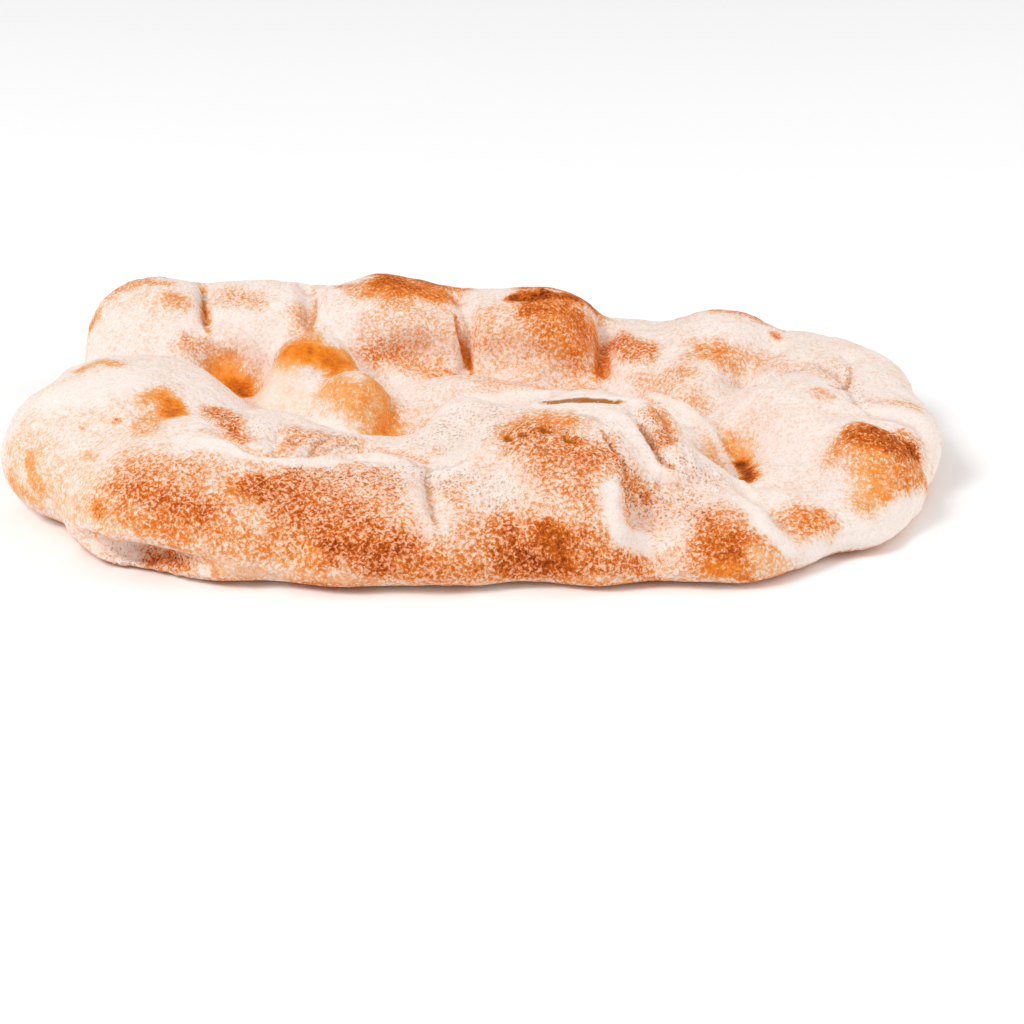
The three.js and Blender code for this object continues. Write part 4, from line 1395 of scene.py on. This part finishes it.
# %% [markdown]
# ## The loose flour
# A little of the flour isn't rubbed in but lies on the crust as grains of semolina, about half a
# millimetre wide. Geometry Nodes scatter them over the skin, thick where the crust is floury and
# thin where it isn't, each one turned and sized at random from a fixed seed.
#
# The tree has its sizes as named inputs. First it finds how many grains a spot gets: none where the
# stored flour is thin, and none where the skin leans so far down that a grain would fall off.

# %% Where the grains lie
GRAIN_SEED = 7
grain_tree = bpy.data.node_groups.new("scatter flour grains", "GeometryNodeTree")
grain_tree.interface.new_socket("Geometry", in_out="INPUT", socket_type="NodeSocketGeometry")
for label in ("Grains per square metre", "Grain radius"):
    grain_tree.interface.new_socket(label, in_out="INPUT", socket_type="NodeSocketFloat")
grain_tree.interface.new_socket("Flour", in_out="INPUT", socket_type="NodeSocketMaterial")
grain_tree.interface.new_socket("Geometry", in_out="OUTPUT", socket_type="NodeSocketGeometry")
given = add_node(grain_tree, "NodeGroupInput").outputs
cover = add_node(grain_tree, "GeometryNodeInputNamedAttribute", {"Name": "floured"}, data_type="FLOAT")
lean = add_node(grain_tree, "GeometryNodeInputNormal")
upward = add_node(grain_tree, "ShaderNodeSeparateXYZ", {0: lean.outputs[0]})
resting = add_node(
    grain_tree, "ShaderNodeMapRange", {0: upward.outputs[2], 1: -0.5, 2: 0.5, 3: 0.0, 4: 1.0}
)
thick = add_node(grain_tree, "ShaderNodeMapRange", {0: cover.outputs[0], 1: 0.35, 2: 0.8, 3: 0.0, 4: 0.7})
wanted = add_node(
    grain_tree, "ShaderNodeMath", {0: thick.outputs[0], 1: resting.outputs[0]}, operation="MULTIPLY"
)
density = add_node(
    grain_tree, "ShaderNodeMath", {0: wanted.outputs[0], 1: given["Grains per square metre"]},
    operation="MULTIPLY",
)
sown = add_node(
    grain_tree, "GeometryNodeDistributePointsOnFaces",
    {"Mesh": given["Geometry"], "Density": density.outputs[0], "Seed": GRAIN_SEED},
    distribute_method="RANDOM",
)
print("the scatter has", len(grain_tree.nodes), "nodes so far")

# %% [markdown]
# A grain is a ball of a few faces. It is turned any way and stretched, so that no two look alike,
# and then the instances are made real and get their material.

# %% The shape of the grains
# how much a grain is stretched along its three axes, at least and at most
SMALLEST, LARGEST = (0.5, 0.5, 0.4), (1.3, 1.1, 0.9)
grain_shape = add_node(
    grain_tree, "GeometryNodeMeshUVSphere", {"Segments": 5, "Rings": 3, "Radius": given["Grain radius"]}
)
turns = add_node(
    grain_tree, "FunctionNodeRandomValue",
    {0: (0.0, 0.0, 0.0), 1: (math.tau, math.tau, math.tau), "Seed": GRAIN_SEED + 1},
    data_type="FLOAT_VECTOR",
)
stretches = add_node(
    grain_tree, "FunctionNodeRandomValue", {0: SMALLEST, 1: LARGEST, "Seed": GRAIN_SEED + 2},
    data_type="FLOAT_VECTOR",
)
placed = add_node(
    grain_tree, "GeometryNodeInstanceOnPoints",
    {"Points": sown.outputs["Points"], "Instance": grain_shape.outputs[0], "Rotation": turns.outputs[0],
     "Scale": stretches.outputs[0]},
)
real = add_node(grain_tree, "GeometryNodeRealizeInstances", {0: placed.outputs[0]})
finished = add_node(
    grain_tree, "GeometryNodeSetMaterial", {"Geometry": real.outputs[0], "Material": given["Flour"]}
)
add_node(grain_tree, "NodeGroupOutput", {0: finished.outputs[0]})
print("the scatter has", len(grain_tree.nodes), "nodes")

# %% [markdown]
# Semolina is ground hard wheat: dull, from white to pale straw. Its grains differ a little in
# colour, so a slow noise mixes two tints.

# %% Semolina flour
TINT_MM = 6.0
flour = bpy.data.materials.new("semolina flour")
flour.use_nodes = True
tree = flour.node_tree
tree.nodes.clear()
place = add_node(tree, "ShaderNodeTexCoord").outputs["Object"]
batch = add_node(
    tree, "ShaderNodeTexNoise", {"Vector": place, "Scale": per_metre(TINT_MM), "Detail": 1.0}
)
tint = add_node(
    tree, "ShaderNodeMix",
    {0: batch.outputs["Fac"], 6: linear("#fbeee2"), 7: linear("#f0d2b6")}, data_type="RGBA",
)
shader = add_node(
    tree, "ShaderNodeBsdfPrincipled",
    {"Base Color": tint.outputs[2], "Roughness": 0.95, "Specular IOR Level": 0.2},
)
add_node(tree, "ShaderNodeOutputMaterial", {"Surface": shader.outputs[0]})
print("the flour's tint changes over about", TINT_MM, "mm")

# %% [markdown]
# The modifier runs on a copy of the crust, with its inputs set before it is first evaluated. Its
# result is taken as a plain mesh, and the copy is removed.

# %% The grains as a plain mesh
GRAINS_PER_CM2 = 24.0
GRAIN_RADIUS_MM = 0.24
CM2_IN_M2 = 1e4
carrier = bpy.data.objects.new("flour carrier", crust_mesh.copy())
bpy.context.scene.collection.objects.link(carrier)
scatter = carrier.modifiers.new("scatter", "NODES")
scatter.node_group = grain_tree
given_values = {
    "Grains per square metre": GRAINS_PER_CM2 * CM2_IN_M2,
    "Grain radius": GRAIN_RADIUS_MM * MM,
    "Flour": flour,
}
for item in grain_tree.interface.items_tree:
    if item.item_type == "SOCKET" and item.in_out == "INPUT" and item.name in given_values:
        scatter[item.identifier] = given_values[item.name]
evaluated = carrier.evaluated_get(bpy.context.evaluated_depsgraph_get())
grain_mesh = bpy.data.meshes.new_from_object(evaluated)
carrier.modifiers.remove(scatter)
bpy.data.objects.remove(carrier)
grain_mesh.name = "flour_grains"
grains = bpy.data.objects.new("flour_grains", grain_mesh)
bpy.context.scene.collection.objects.link(grains)
print("the flour has", len(grain_mesh.polygons), "faces")

# %% [markdown]
# ## The floor
# The bread lies on a plain white sheet, as on a photographer's table. It is a single large square, a
# hair below the bread, so that the two never flicker against each other.

# %% Floor
FLOOR_HALF = 3.0
FLOOR_GAP = 0.0002
WHITE, FLOOR_ROUGHNESS = "#ffffff", 0.9
corners = [(x * FLOOR_HALF, y * FLOOR_HALF, 0) for x, y in ((-1, -1), (1, -1), (1, 1), (-1, 1))]
floor_mesh = bpy.data.meshes.new("floor")
floor_mesh.from_pydata(corners, [], [(0, 1, 2, 3)])
floor = bpy.data.objects.new("floor", floor_mesh)
floor.location.z = -FLOOR_GAP
bpy.context.scene.collection.objects.link(floor)
white = bpy.data.materials.new("white studio sweep")
white.use_nodes = True
paper = white.node_tree.nodes["Principled BSDF"].inputs
paper["Base Color"].default_value = linear(WHITE)
paper["Roughness"].default_value = FLOOR_ROUGHNESS
floor_mesh.materials.append(white)
print("the floor is", 2 * FLOOR_HALF, "m wide")

# %% [markdown]
# ## Light and colour
# The photograph is bright, with hardly a shadow, so white light comes from all round. One wide
# lamp from the upper left gives the rolls their form, and a weaker one from the right lifts their
# shaded side. The standard view is used, because the colours were read from the photograph as shown.

# %% Light
WORLD_STRENGTH = 0.54
# place in metres, watts, width in metres
LAMPS = {"key light": ((-1.28, -0.77, 1.62), 27.4, 0.9), "fill light": ((1.5, -0.1, 0.8), 11.0, 1.4)}
world = bpy.data.worlds.new("white room")
bpy.context.scene.world = world
world.use_nodes = True
world.node_tree.nodes["Background"].inputs["Color"].default_value = linear(WHITE)
world.node_tree.nodes["Background"].inputs["Strength"].default_value = WORLD_STRENGTH
for name, (lamp_place, watts, width) in LAMPS.items():
    lamp = bpy.data.objects.new(name, bpy.data.lights.new(name, "AREA"))
    lamp.data.energy = watts
    lamp.data.size = width
    lamp.location = lamp_place
    lamp.rotation_euler = (-lamp.location).to_track_quat("-Z", "Y").to_euler()
    bpy.context.scene.collection.objects.link(lamp)
bpy.context.scene.view_settings.view_transform = "Standard"
print(len(LAMPS), "lamps, and a world of strength", WORLD_STRENGTH)

# %% [markdown]
# ## The pieces on the part's body
# Both pieces ride on the part's one body. The crust stands for the imported solid, which is hidden.

# %% Bodies, and the solid hidden
for piece in (crust, grains):
    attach(piece, "root")
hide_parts("pinsa_base")
